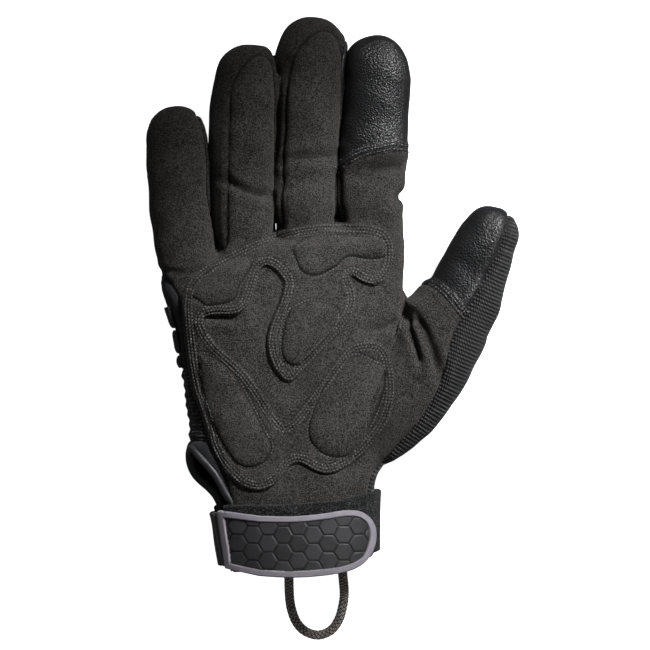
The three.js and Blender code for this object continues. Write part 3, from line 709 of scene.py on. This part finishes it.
def suede_finish(name, dark, light):
    made = Finish(name, 0.93, 0.1, 0.04)
    nap = made.noise(0.5, 2, 0.65)
    tufts = made.noise(1.0, 2)
    brushed = made.noise(3.4, 3, 0.6, (1, 0.55, 1))
    shade = (nap - 0.5) * 5.4 + (tufts - 0.5) * 1.4 + (brushed - 0.5) * 0.5
    shade = shade + (made.noise(17, 3) - 0.5) + 0.42
    # Painted shade: the suede is painted darker within about a millimetre of a seam or a sharp fold.
    shade = shade * (made.mark("seam_shade_far") * 1.25 - 0.05).least(1)
    made.dress(shade, dark, light, nap + tufts * 0.7 + brushed * 0.5, 0.45)
    return made


suede = suede_finish("suede", (0.0062, 0.0058, 0.0055), (0.054, 0.0495, 0.047))
# The side strips get a darker copy of the same suede: painted shade, for strips that lie between the
# fingers out of the light.
shaded_side_suede = suede_finish("shaded_side_suede", (0.0052, 0.0049, 0.0046), (0.045, 0.0414, 0.0393))
cloth_piece("palm", "suede_palm", suede, "suede", "palm_panel")
for between in ("pinky_ring", "ring_middle", "middle_index"):
    cloth_piece(f"strip_{between}", f"side_strip_{between}", shaded_side_suede, "suede",
                f"fourchette_{between}")


# Stretch back
# The back of the hand is one piece of black two-way stretch cloth with a fine twill, carried
# round the little finger's outer side and down to the hem.
twill = Finish("back_cloth", 0.85, 0.2, 0.05, 0.4)
twill_x, twill_y = twill.across_and_along()
twill_height = (twill_x + twill_y).wave(1.15) * 0.6 + (twill_x - twill_y).wave(0.75) * 0.4
twill_shade = twill_height * 0.6 + twill.noise(14, 3) * 0.5 - 0.1
twill.dress(twill_shade, (0.0035, 0.0035, 0.0042), (0.019, 0.019, 0.021), twill_height, 0.22)
cloth_piece("back", "stretch_back", twill, "back_cloth", "back_panel")


# Leather fingertips
# Pebbled black synthetic leather caps for the forefinger and the thumb, thinner and glossier than
# the suede, set into it and topstitched on the leather's side of the seam.
CAP_LIFT = 0.4  # the caps lap over the suede
PEBBLE = 0.8
leather = Finish("leather", specular=0.36)
pebbles = leather.node("ShaderNodeTexVoronoi", {"feature": "SMOOTH_F1"},
                       {"Vector": leather.place(), "Scale": 1 / PEBBLE, "Smoothness": 0.5})
scuffed = leather.noise(6.5, 4, 0.6)
leather_fine = leather.noise(0.45, 2)
leather.dress(scuffed * 0.9 + leather_fine * 0.4 - 0.2, (0.0014, 0.0014, 0.0017),
              (0.0075, 0.0075, 0.0087), 1 - pebbles * 1.1 + leather_fine * 0.5, 0.3,
              roughness=scuffed * 0.25 + leather_fine * 0.2 + 0.22)
for tip in ("thumb_tip", "index_tip"):
    cloth_piece(tip, f"leather_{tip}", leather, "leather", f"{tip}_cap", lift=CAP_LIFT)


# Ribbed knit
# A strong elastic knit whose fine ribs run across the thumb's outer side, from its tip to the cuff.
# The same knit is gathered in short ribs at the outer edge of the hand, under the edge cushions.
RIB_PITCH = 1.62
BEAD_PITCH = 1.2
KNIT_LINE = [(13, -128), (18, -100), (24, -81), (36, -63), (48, -45), (57, -24), (66, -2), (73, 14),
             (78, 30), (82, 44)]


def along_line(flat, line):
    """How far along a line the nearest spot to each point is, and how far off to its right."""
    best = np.full(len(flat), 1e3)
    run, off = np.zeros(len(flat)), np.zeros(len(flat))
    start = 0
    for (ax, ay), (bx, by) in segments(line, False):
        ex, ey = bx - ax, by - ay
        size = hypot(ex, ey)
        part = np.clip(((flat[:, 0] - ax) * ex + (flat[:, 1] - ay) * ey) / size**2, 0, 1)
        dx, dy = flat[:, 0] - ax - part * ex, flat[:, 1] - ay - part * ey
        far = np.hypot(dx, dy)
        closer = far < best
        best = np.where(closer, far, best)
        run = np.where(closer, start + part * size, run)
        off = np.where(closer, (dx * ey - dy * ex) / size, off)
        start += size
    return run, off


knit = Finish("rib_knit", 0.72, 0.25, 0.1, 0.35)
rib_run = knit.mark("rib_run")
rib_off = knit.mark("rib_off")
rib_wave = rib_run.wave(RIB_PITCH)
stitch_height = rib_wave * ((rib_off + rib_run * 0.35).wave(BEAD_PITCH) * 0.8 + 0.2)
# Painted shade and highlight: the knit is painted darker in the gaps between ribs and beads and lighter
# on their tops.
knit_shade = stitch_height * stitch_height * 1.4 + knit.noise(0.5, 3) * 0.3 - 0.17
knit.dress(knit_shade, (0.0003, 0.0003, 0.0004), (0.05, 0.047, 0.051), stitch_height, 0.8)
thumb_sheet = cloths["thumb_knit"][0]
run, off = along_line(thumb_sheet[:, :2], rounded(KNIT_LINE, closed=False))
cloth_piece("thumb_knit", "ribbed_thumb_side", knit, "rib_knit", "thumb_knit_panel",
            {"rib_run": run, "rib_off": off - thumb_sheet[:, 2]})
gusset_sheet = cloths["ulnar_gusset"][0]
cloth_piece("ulnar_gusset", "ribbed_outer_edge", knit, "rib_knit", "ulnar_gusset",
            {"rib_run": gusset_sheet[:, 1], "rib_off": gusset_sheet[:, 2] - gusset_sheet[:, 0]})


# Palm overlay
# A second layer of suede on the palm with five foam cushions under it. It lies on the palm with a
# raw edge, held by three rows of stitches along the edge and one row round each cushion.
OVERLAY_LIFT = 0.3  # air under the overlay
OVERLAY = 1.3
PAD_RISE = 2.2
PAD_SHOULDER = 5.5  # a cushion rises over this width
OVERLAY_GRID = 0.5
TILT_PASSES = 6  # smoothings of the way the overlay faces
OVERLAY_FROM, OVERLAY_TO = (-69, -90), (31, 33)
OVERLAY_OUTLINE = [
    (-65.6, -2), (-62.4, 7.1), (-53.6, 13.6), (-37.2, 21.8), (-25.3, 26.6), (-10.6, 30.4),
    (4.4, 30.9), (21.5, 30.2), (26.9, 24.4), (28, 17), (26, 8), (20.2, 3), (14, 4), (7.4, 8.6),
    (10.8, 1), (10.9, -5.7), (7, -14), (-13, -34.7), (-18.6, -40), (-24.7, -34.7), (-28.4, -25),
    (-27.7, -15.3), (-20, 2.4), (-21.6, 7), (-27, 12), (-30.9, 11.2), (-33.4, 2), (-38, -10),
    (-55, -9.6), (-56.3, -13), (-51.3, -21.8), (-41.8, -29.4), (-33, -38.9), (-22.4, -57),
    (-19.2, -57), (-13, -49.9), (3.9, -26.3), (9, -21.4), (20.7, -20.7), (25.4, -25.6),
    (28.4, -38), (27, -53), (19.6, -65), (8.4, -75.7), (-3.4, -80.7), (-16.3, -72.1), (-22, -81.9),
    (-30, -87), (-40, -85), (-51.7, -72.2), (-56.3, -53.3), (-61, -42), (-63.7, -24),
]
CUSHIONS = {
    "forefinger": [(-17, 17.5), (-10, 23.5), (4, 24.4), (19, 24.2), (24, 18), (18, 14.6), (7, 15.6),
                   (0.9, 10.9), (-7.3, 7.3), (-14, 10)],
    "little_finger": [(-61.3, -1.7), (-55, 7), (-40, 15), (-34.6, 12.6), (-40, 3), (-43, -3.5),
                      (-55, -5.6)],
    "centre": [(-18, -7), (-21.8, -20), (-20.6, -29), (-14.5, -31), (-4.5, -22.9), (2.6, -10.6),
               (-1.5, -4.8), (-11, -3.6)],
    "heel": [(-57.5, -27), (-46, -31.5), (-38.2, -42.6), (-29.8, -59.4), (-26, -67.5), (-31, -75.2),
             (-41, -74.6), (-50.6, -59.4), (-56.3, -42)],
    "thumb_base": [(12, -27), (2, -32), (-5.7, -45.4), (-10.2, -61), (-4.5, -70), (5, -71.8),
                   (13, -65.5), (22.4, -45.4), (22.4, -32)],
}
EDGE_ROWS = (1.0, 2.35, 3.7)  # stitch rows, in from the raw edge
EDGE_ROW_SINK = 0.25
CUSHION_ROW = 0.3  # stitch row, out from a cushion's foot
CUSHION_ROW_SINK = 0.6
HIGH_ABOVE = 80  # over all of the glove
skin = BVHTree.FromPolygons(shell_points.tolist(), shell_triangles.tolist())


def smooth_loop(corners):
    """A smooth closed line through a few corners."""
    around = np.array(corners[-2:] + corners + corners[:2], dtype=float)
    return through(around, 8)[16:-16]


def grid_triangles(rows, columns, first, second):
    """Two triangles to each quad of a grid of points; a quad's sides are the steps first and second."""
    start = np.arange(rows - 1)[:, None] * columns + np.arange(columns - 1)[None]
    quads = np.stack([start, start + first, start + first + second, start + second], axis=-1)
    quads = quads.reshape(-1, 4)
    return np.vstack([quads[:, [0, 1, 2]], quads[:, [0, 2, 3]]])


def flat_sheet(low, high, spacing, outline):
    """The points and triangles of a flat grid between two corners, where it covers an outline."""
    xs, ys = (np.arange(start, end, spacing) for start, end in zip(low, high))
    flat = np.stack(np.meshgrid(xs, ys), axis=-1).reshape(-1, 2)
    triangles = grid_triangles(len(ys), len(xs), 1, len(xs))
    near = depth_in(flat, outline) > -1.6 * spacing
    used, renumbered = np.unique(triangles[near[triangles].any(axis=1)], return_inverse=True)
    return flat[used], renumbered.reshape(-1, 3)


def drop_onto(tree, flat):
    """Where points of a plane come down on a surface, and its normals there."""
    starts = [(x, y, HIGH_ABOVE) for x, y in flat.tolist()]
    hits = [tree.ray_cast(start, (0, 0, -1))[:2] for start in starts]
    spots = [spot or (*start[:2], 0) for (spot, _), start in zip(hits, starts)]
    return np.array(spots), np.array([normal or (0, 0, 1) for _, normal in hits])


def layer_body(sheet, height, inside, marks):
    """A closed body on a sheet: height above it, kept where inside is positive, with its marks."""
    points, outward, triangles = sheet
    columns = [points, outward] + [field[:, None] for field in (height, inside, *marks.values())]
    values = np.hstack(columns)
    values, triangles = clipped(values, triangles, values[:, 7])
    upper = values[:, :3] + values[:, 3:6] * values[:, 6:7]
    points, faces = thickened(upper, values[:, :3], triangles)
    return points, faces, {key: np.tile(values[:, 8 + k], 2) for k, key in enumerate(marks)}


def ease(value):
    """0 below 0, 1 above 1 and a smooth step between."""
    part = np.clip(value, 0, 1)
    return part * part * (3 - 2 * part)


overlay_edge = rounded(OVERLAY_OUTLINE)
cushion_edges = [smooth_loop(corners) for corners in CUSHIONS.values()]
flat, overlay_triangles = flat_sheet(OVERLAY_FROM, OVERLAY_TO, OVERLAY_GRID, overlay_edge)
edge_depth = depth_in(flat, overlay_edge)
cushion_depth = np.max([depth_in(flat, edge) for edge in cushion_edges], axis=0)
spots, tilts = drop_onto(skin, flat)
for _ in range(TILT_PASSES):
    tilts = unit(tilts + normals_of(spots, overlay_triangles))
thick = OVERLAY * (0.5 + 0.5 * np.sqrt(ease(edge_depth / 0.7)))
for row in EDGE_ROWS:
    thick -= EDGE_ROW_SINK * hill(edge_depth - row, 0.4)
thick -= CUSHION_ROW_SINK * hill(cushion_depth + CUSHION_ROW, 0.6) * (edge_depth > 1)
dome = 1 - (1 - np.clip(cushion_depth / PAD_SHOULDER, 0, 1)) ** 2
crowning = ease(cushion_depth / PAD_SHOULDER / 2)
thick += PAD_RISE * (0.78 * np.sqrt(dome) * dome**0.25 + 0.22 * crowning)
sheet = (spots + tilts * OVERLAY_LIFT, tilts, overlay_triangles)
# Painted shade: the overlay is painted darker along its raw edge and round each cushion's foot, where
# creases lie.
seam_shade_far = np.minimum(np.abs(cushion_depth - 0.2), edge_depth + 0.3)
overlay_points, overlay_faces, marks = layer_body(sheet, thick, edge_depth, {"seam_shade_far": seam_shade_far})
overlay = piece("cushioned_palm_overlay", overlay_points, overlay_faces, suede.material, "suede",
                ["palm_overlay"], marks)


# Edge cushions
# Three thin padded segments of smooth stretch cloth, sewn one above another on the outer edge of
# the hand.
EDGE_PADS = {"upper": (-15.4, -4.2), "middle": (-26.6, -16.2), "lower": (-33.0, -27.4)}
EDGE_PAD_BAND = (9, 24)  # they reach from this height to this one
EDGE_PAD_LEVEL = 0.35
EDGE_PAD_FOOT = 0.2
EDGE_PAD_SWELL = 1.35
EDGE_PAD_SHOULDER = 3.2
EDGE_PAD_TURNS = (120, 240)  # round the palm's tube, degrees
PALM_REACH = 32  # from the middle of the palm's tube to its side
palm_dense = through(past_hem + PALM, 40)


def palm_layer(y_from, y_to, turn_from, turn_to, spacing, level):
    """A fine triangle sheet round part of the palm's tube, so far outside the shell."""
    ys = np.arange(y_from, y_to, spacing)
    rows = np.stack([np.interp(ys, palm_dense[:, 0], palm_dense[:, k]) for k in range(7)], axis=1)
    girth = PALM_REACH * radians(turn_to - turn_from)
    turns = np.radians(np.linspace(turn_from, turn_to, int(girth / spacing)))
    points = palm_surface(rows, turns, level).reshape(-1, 3)
    triangles = grid_triangles(len(ys), len(turns), len(turns), 1)
    return points, normals_of(points, triangles), triangles


def layer_piece(name, sheet, height, inside, finish, slot, node, marks={}):
    points, faces, kept = layer_body(sheet, height, inside, marks)
    return piece(name, points, faces, finish.material, slot, [node], kept)


padding = Finish("edge_cloth", 0.75, 0.28, 0.08)
mesh_grain = padding.noise(0.55, 2)
padding_shade = mesh_grain * 0.9 + padding.noise(5, 2) * 0.4 - 0.15
padding.dress(padding_shade, (0.004, 0.004, 0.005), (0.022, 0.022, 0.025), mesh_grain, 0.25)
foot, head = EDGE_PAD_BAND
for number, (place, (low, high)) in enumerate(EDGE_PADS.items(), start=1):
    sheet = palm_layer(low - 3, high + 3, *EDGE_PAD_TURNS, 0.5, EDGE_PAD_LEVEL)
    y, z = sheet[0][:, 1], sheet[0][:, 2]
    inside = least(y - low, high - y, z - foot, head - z)
    for end in EDGE_PAD_BAND:
        inside = inside - 0.6 * np.exp(-np.abs(z - end) / 2)
    swell = np.sqrt(1 - (1 - np.clip(inside / EDGE_PAD_SHOULDER, 0, 1)) ** 2)
    edge_pad = layer_piece(f"edge_cushion_{place}", sheet, EDGE_PAD_FOOT + EDGE_PAD_SWELL * swell,
                           inside, padding, "edge_cloth", f"edge_pad_{number}")


# Slit binding
# A smooth folded tape, bound over both raw edges of the wrist slit and round its closed end, and
# sewn through.
SLIT_LINE = [(-128, 20.4), (-90, 19.4), (-77, 20.8), (-64.8, 27.2), (-77.6, 32.8), (-90, 33.7),
             (-128, 32.7)]
BINDING_HALF = 1.7
BINDING_HALF_DEEP = 1.95
BINDING_SUNK = 0.75  # its middle lies so far under the cloth's face
BINDING_AROUND = 28
BINDING_POWER = 2.6
BINDING_END = -119.5
BINDING_PASSES = 12  # smoothings of its course
binding_line = evenly(rounded(SLIT_LINE, closed=False), 0.5)
binding_line = binding_line[binding_line[:, 0] > BINDING_END]
hits = [skin.ray_cast((-120, y, z), (1, 0, 0))[:2] for y, z in binding_line.tolist()]
binding_path, binding_out = (np.array(found) for found in zip(*hits))
for _ in range(BINDING_PASSES):
    binding_out[1:-1] = unit(binding_out[:-2] + 2 * binding_out[1:-1] + binding_out[2:])
    binding_path[1:-1] = (binding_path[:-2] + 2 * binding_path[1:-1] + binding_path[2:]) / 4
binding_along = unit(np.gradient(binding_path, axis=0))
binding_side = unit(np.cross(binding_along, binding_out))
binding_turns = np.linspace(0, 2 * pi, BINDING_AROUND, endpoint=False)
across = BINDING_HALF * signed_power(np.cos(binding_turns), BINDING_POWER)[None, :, None]
deep = BINDING_HALF_DEEP * signed_power(np.sin(binding_turns), BINDING_POWER) - BINDING_SUNK
deep = deep[None, :, None]
binding_points = binding_path[:, None] + binding_side[:, None] * across + binding_out[:, None] * deep
tape = Finish("binding", 0.47, 0.42)
tape_grain = tape.noise(0.5, 2, 0.5, (1, 0.4, 1))
tape_shade = tape_grain * 0.8 + tape.noise(7, 2) * 0.4 - 0.1
tape.dress(tape_shade, (0.004, 0.004, 0.005), (0.026, 0.0255, 0.029), tape_grain, 0.16)
piece("slit_tape", binding_points.reshape(-1, 3), tube_faces(len(binding_path), BINDING_AROUND),
      tape.material, "binding", ["slit_binding"])


# Loop band
# A band of napped loop fabric sewn flat round the cuff, from one edge of the wrist slit to the
# other. The strap's hook side holds on it.
BAND_LEVEL = 1.8
BAND = 1.4
BAND_FROM_SLIT = 0.6
BAND_OUTLINE = [(-70, -122.4), (40, -111.5), (40, -83.2), (21.5, -86), (13, -88), (0, -90.6),
                (-22.7, -92.2), (-45, -92.6), (-70, -96)]
sheet = palm_layer(-127, -76, 176, 176 + 360, 0.6, BAND_LEVEL)
flat_depth = depth_in(sheet[0][:, :2], np.array(BAND_OUTLINE, dtype=float))
at_slit = depth_in(sheet[0][:, 1:], rounded(SLIT)) + BAND_FROM_SLIT
inside = np.where(sheet[0][:, 0] < SLIT_SIDE, np.minimum(flat_depth, -at_slit), flat_depth)
napped = Finish("loop_fabric", 1.0, 0.15, 0.05)
loops = napped.noise(0.6, 3, 0.7)
tufts = napped.noise(1.9, 3, 0.6)
napped_shade = (loops - 0.5) * 6 + (tufts - 0.5) * 1.6 + 0.1
napped.dress(napped_shade, (0.001, 0.001, 0.0012), (0.05, 0.049, 0.0515), loops + tufts * 0.7, 0.9)


def soft_edge(inside):
    """1 over a webbing's middle, and less at its rounded edge."""
    return np.sqrt(ease(inside / 0.8 + 0.25))


layer_piece("napped_loop_band", sheet, BAND * soft_edge(inside), inside, napped, "loop_fabric",
            "loop_band")


# Closure strap
# A flat woven strap sewn to the back of the cuff and folded round the outer edge of the wrist. It
# carries the rubber tab and presses its hook side onto the loop band.
STRAP_LEVEL = 3.55
STRAP = 1.3
STRAP_EDGES = (-119.5, -96)
TURNS_DOWN = -44  # left of this x it goes down round the wrist
ENDS_UNDER = -20  # and on the back it ends here
FOLD_LEFT = -51.7  # x of the first fold at y -90
FOLD_LEAN = 0.19
FOLD_PITCH = 1.65
FOLD_RISE = 0.8
RIM_WIDE = 2.7
TAB = [
    (-48.8, -94.9), (-31, -97), (-17.5, -97.3), (-5.1, -96.3), (6.3, -94.3), (13, -95.2),
    (17.4, -99.7), (18.6, -106), (17.1, -113.3), (13.2, -118.6), (6.3, -121.5), (-5.1, -123.2),
    (-17.5, -123.9), (-31, -123.2), (-45.2, -120.2),
]
tab_edge = np.vstack([rounded(TAB[1:-1], closed=False), TAB[-1:], TAB[:1]])
sheet = palm_layer(-126, -84, 20, 262, 0.5, STRAP_LEVEL)
x, y, z = sheet[0].T
across = least(y - STRAP_EDGES[0], STRAP_EDGES[1] - y)
under_tab = np.minimum(depth_in(sheet[0][:, :2], tab_edge) - RIM_WIDE, z - 22)
round_side = least(TURNS_DOWN - x, z - 12, across)
on_back = least(ENDS_UNDER - x, 23 - z, across)
inside = np.maximum(np.maximum(under_tab, round_side), on_back)
fold_line = (x - FOLD_LEFT - FOLD_LEAN * (-90 - y)) / FOLD_PITCH
folds = np.where((z > 14) & (x < TURNS_DOWN + 1), 0.5 + 0.5 * np.cos(2 * pi * fold_line), 0)
web = Finish("strap_web", 0.62, 0.4)
web_rib = web.across_and_along()[1].wave(0.9)
# Painted highlight: the strap is painted lighter on the crests of its folds, and its light colour is
# raised for them.
painted_fold_highlight = web.mark("fold")
web_shade = web_rib * 0.25 + web.noise(0.7, 3) * 0.3 + painted_fold_highlight * painted_fold_highlight * 0.6 - 0.1
web_height = web_rib + web.noise(0.4, 2) * 0.5
web.dress(web_shade, (0.0025, 0.0025, 0.003), (0.12, 0.116, 0.125), web_height, 0.2)
layer_piece("folded_strap", sheet, STRAP * soft_edge(inside) + FOLD_RISE * folds, inside, web,
            "strap_web", "closure_strap", {"fold": folds})


# Closure tab
# The moulded rubber plate that is sewn on the end of the strap, with a pattern of flat hexagon
# cells parted by narrow grooves.
TAB_LEVEL = 5.2
PLATE = 1.7
CELL_WIDE = 8.6
CELL_GROOVE = 0.5
CELL_RISE = 0.3
CELL_CENTRE = (-14.5, -109)
sheet = palm_layer(-127, -84, 18, 196, 0.3, TAB_LEVEL)
tab_depth = depth_in(sheet[0][:, :2], tab_edge)
column_step = CELL_WIDE * 0.75
cell_high = CELL_WIDE * sqrt(3) / 2
across_cells = (sheet[0][:, 0] - CELL_CENTRE[0]) / column_step
up_cells = (sheet[0][:, 1] - CELL_CENTRE[1]) / cell_high
to_wall = np.full(len(sheet[0]), -1e3)
cell_shade = np.zeros(len(sheet[0]))
for lean in (-1, 0, 1):
    column = np.round(across_cells) + lean
    row = np.round(up_cells - 0.5 * (column % 2)) + 0.5 * (column % 2)
    dx, dy = (across_cells - column) * column_step, (up_cells - row) * cell_high
    slanted = dx * cos(pi / 6)
    reach = cell_high / 2 - np.max(np.abs([dy, slanted + dy / 2, slanted - dy / 2]), axis=0)
    closer = reach > to_wall
    to_wall = np.where(closer, reach, to_wall)
    shade = np.sin(column * 12.9898 + row * 78.233) * 43758.5453  # differs from cell to cell
    cell_shade = np.where(closer, shade - np.floor(shade), cell_shade)
cell_top = CELL_RISE * ease((to_wall - CELL_GROOVE * 0.3) / 0.35)
rubber = Finish("rubber_plate", specular=0.4)
cell = rubber.mark("cell")
wall = rubber.mark("wall")
# Painted shade: the rubber is painted dark in the grooves between the cells.
flat_top = rubber.node("ShaderNodeMapRange", {"clamp": True},
                       {"Value": wall, "From Min": 0.2, "From Max": 0.5, "To Min": 0.0, "To Max": 1.0})
dusted = rubber.noise(4.5, 4, 0.6)
rubber_shade = flat_top * (cell * 0.3 + dusted * 0.6 + 0.15)
rubber.dress(rubber_shade, (0.0015, 0.0015, 0.0018), (0.037, 0.0345, 0.038), rubber.noise(0.35, 2),
             0.05, roughness=cell * 0.12 + dusted * 0.15 + 0.42)
layer_piece("hexagon_tab", sheet, PLATE + cell_top - CELL_RISE, tab_depth - RIM_WIDE - 0.1, rubber,
            "rubber_plate", "closure_tab", {"cell": cell_shade, "wall": to_wall})


# Tab border
# The paler rubber border moulded round the tab in one with it, standing a little above its cells.
# Both its edges are rounded.
RIM_EDGE = 1.2  # height of the border's edges
RIM_ROUND = 1.2  # what its rounding adds
rim_inside = np.minimum(tab_depth, RIM_WIDE - tab_depth)
rim_height = RIM_EDGE + RIM_ROUND * ease(rim_inside / 0.45 + 0.3)
border = Finish("rubber_border", specular=0.25)
border_worn = border.noise(5, 4, 0.6)
border_shade = border_worn + (border.noise(0.6, 2) - 0.5) * 0.5
border.dress(border_shade, (0.17, 0.158, 0.182), (0.27, 0.253, 0.285), border.noise(0.4, 2), 0.05,
             roughness=border_worn * 0.2 + 0.42)
layer_piece("tab_border", sheet, rim_height, rim_inside, border, "rubber_border", "tab_rim")


# Stitching
# Pale grey thread sewn through both layers, with a dark bead between each two stitches that is painted
# shade of the needle hole. It runs in three rows along the overlay's edge and the leather's lower
# edges, and once round each cushion.
uneven = np.random.default_rng(5)
STITCH_PITCH = 1.45
STITCH_HALF = (0.39, 0.46, 0.36)  # half the length, width and height of a stitch
HOLE_SHADE_HALF = (0.42, 0.42, 0.3)
LOWEST_SEEN, FLATTEST_SEEN = 5, 0.35  # no stitch lower, or on a steeper spot
CAP_ROWS = (0.1, 1.9, 3.2)  # stitch rows on a leather cap, in from its edge
crest_faces = np.vstack([overlay_faces[0], overlay_faces[1]])
crest = BVHTree.FromPolygons(overlay_points.tolist(), crest_faces.tolist())


def inner_rows(edge, depth, closed=True):
    """A row moved in from an edge, in runs that leave out where it would come too near the edge."""
    line = evenly(np.vstack([edge, edge[:1]]) if closed else edge, 0.3)
    along = unit(np.gradient(line, axis=0))
    normal = np.stack([-along[:, 1], along[:, 0]], axis=1)
    if closed:
        turn = np.sum(line[:-1, 0] * line[1:, 1] - line[1:, 0] * line[:-1, 1])
        normal *= np.sign(turn)
    moved = line + normal * depth
    if closed:
        good = np.abs(depth_in(moved, edge) - depth) < 0.08
        breaks = np.flatnonzero(np.diff(good.astype(int))) + 1
        runs = [part for part, kept in zip(np.split(moved, breaks), np.split(good, breaks)) if kept[0]]
    else:
        runs = [moved]
    return [part for part in runs if len(part) > 6]


def capsule(around, rings):
    """A unit bead along its first axis, and its triangles."""
    angles = np.linspace(0, pi, rings + 2)[1:-1]
    turns = np.linspace(0, 2 * pi, around, endpoint=False)
    body = [(-cos(a), sin(a) * cos(t), sin(a) * sin(t)) for a in angles for t in turns]
    points = np.array([(-1, 0, 0)] + body + [(1, 0, 0)])
    faces = []
    for k in range(around):
        after = (k + 1) % around
        faces.append((0, 1 + after, 1 + k))
        for ring in range(rings - 1):
            a, b = 1 + ring * around + k, 1 + ring * around + after
            faces += [(a, b, b + around), (a, b + around, a + around)]
        last = 1 + (rings - 1) * around
        faces.append((last + k, last + after, len(points) - 1))
    return points, np.array(faces)


def stitching(name, runs, tree, slot, lift=0.05):
    """Stitches, and dark beads painted as the needle holes' shade, along runs of points, set on a
    surface from above.
    """
    spots = [evenly(run[2 * (k % 2):], STITCH_PITCH) for k, run in enumerate(runs)]
    heads = [unit(np.gradient(part, axis=0)) if len(part) > 1 else part * 0 + (1, 0) for part in spots]
    flat, head = np.vstack(spots), np.vstack(heads)
    middle, normal = drop_onto(tree, flat)
    seen = (middle[:, 2] > LOWEST_SEEN) & (normal[:, 2] > FLATTEST_SEEN)
    middle, normal, head = middle[seen], normal[seen], head[seen]
    head = head + uneven.normal(scale=0.22, size=head.shape)
    along = unit(np.column_stack([head, np.zeros(len(head))]))
    along = unit(along - normal * np.sum(along * normal, axis=1, keepdims=True))
    side = np.cross(normal, along)
    points, faces, tones = [], [], []
    beads = [(capsule(6, 3), STITCH_HALF, 0.0, lift + 0.08, 1.0),
             (capsule(6, 1), HOLE_SHADE_HALF, STITCH_PITCH / 2, lift + 0.3, 0.0)]
    count = 0
    for (shape, shape_faces), sizes, shift, raised, tone in beads:
        sized = shape[None] * sizes * uneven.uniform(0.75, 1.25, (len(middle), 1, 3))
        sized = sized + (shift, 0, raised)
        placed = middle[:, None] + (along[:, None] * sized[..., :1] + side[:, None] * sized[..., 1:2]
                                    + normal[:, None] * sized[..., 2:])
        starts = count + np.arange(len(middle))[:, None, None] * len(shape)
        faces.append((shape_faces[None] + starts).reshape(-1, 3))
        points.append(placed.reshape(-1, 3))
        tones.append(np.full(placed.shape[0] * placed.shape[1], tone))
        count += placed.shape[0] * placed.shape[1]
    marks = {"tone": np.concatenate(tones)}
    return piece(name, np.vstack(points), faces, thread.material, slot, [], marks)


thread = Finish("grey_thread", 0.55, 0.4)
tone = thread.mark("tone")
# tone is 1 on the thread and 0 on the dark beads that are painted shade of the needle holes.
thread_shade = tone * (thread.noise(0.9, 2) * 2.2 - 0.55)
thread.dress(thread_shade, (0.0003, 0.0003, 0.0003), (0.13, 0.125, 0.127), thread.noise(0.2, 2), 0.06)
overlay_runs = [run for row in EDGE_ROWS for run in inner_rows(overlay_edge, row)]
for edge in cushion_edges:
    overlay_runs += inner_rows(edge, -CUSHION_ROW)
stitching("overlay_stitching", overlay_runs, crest, "suede")
cap_runs = [inner_rows(rounded(seam, closed=False), gap, closed=False)[0]
            for seam in (INDEX_CAP_SEAM, THUMB_CAP_SEAM) for gap in CAP_ROWS]
stitching("fingertip_stitching", cap_runs, skin, "leather", CAP_LIFT)
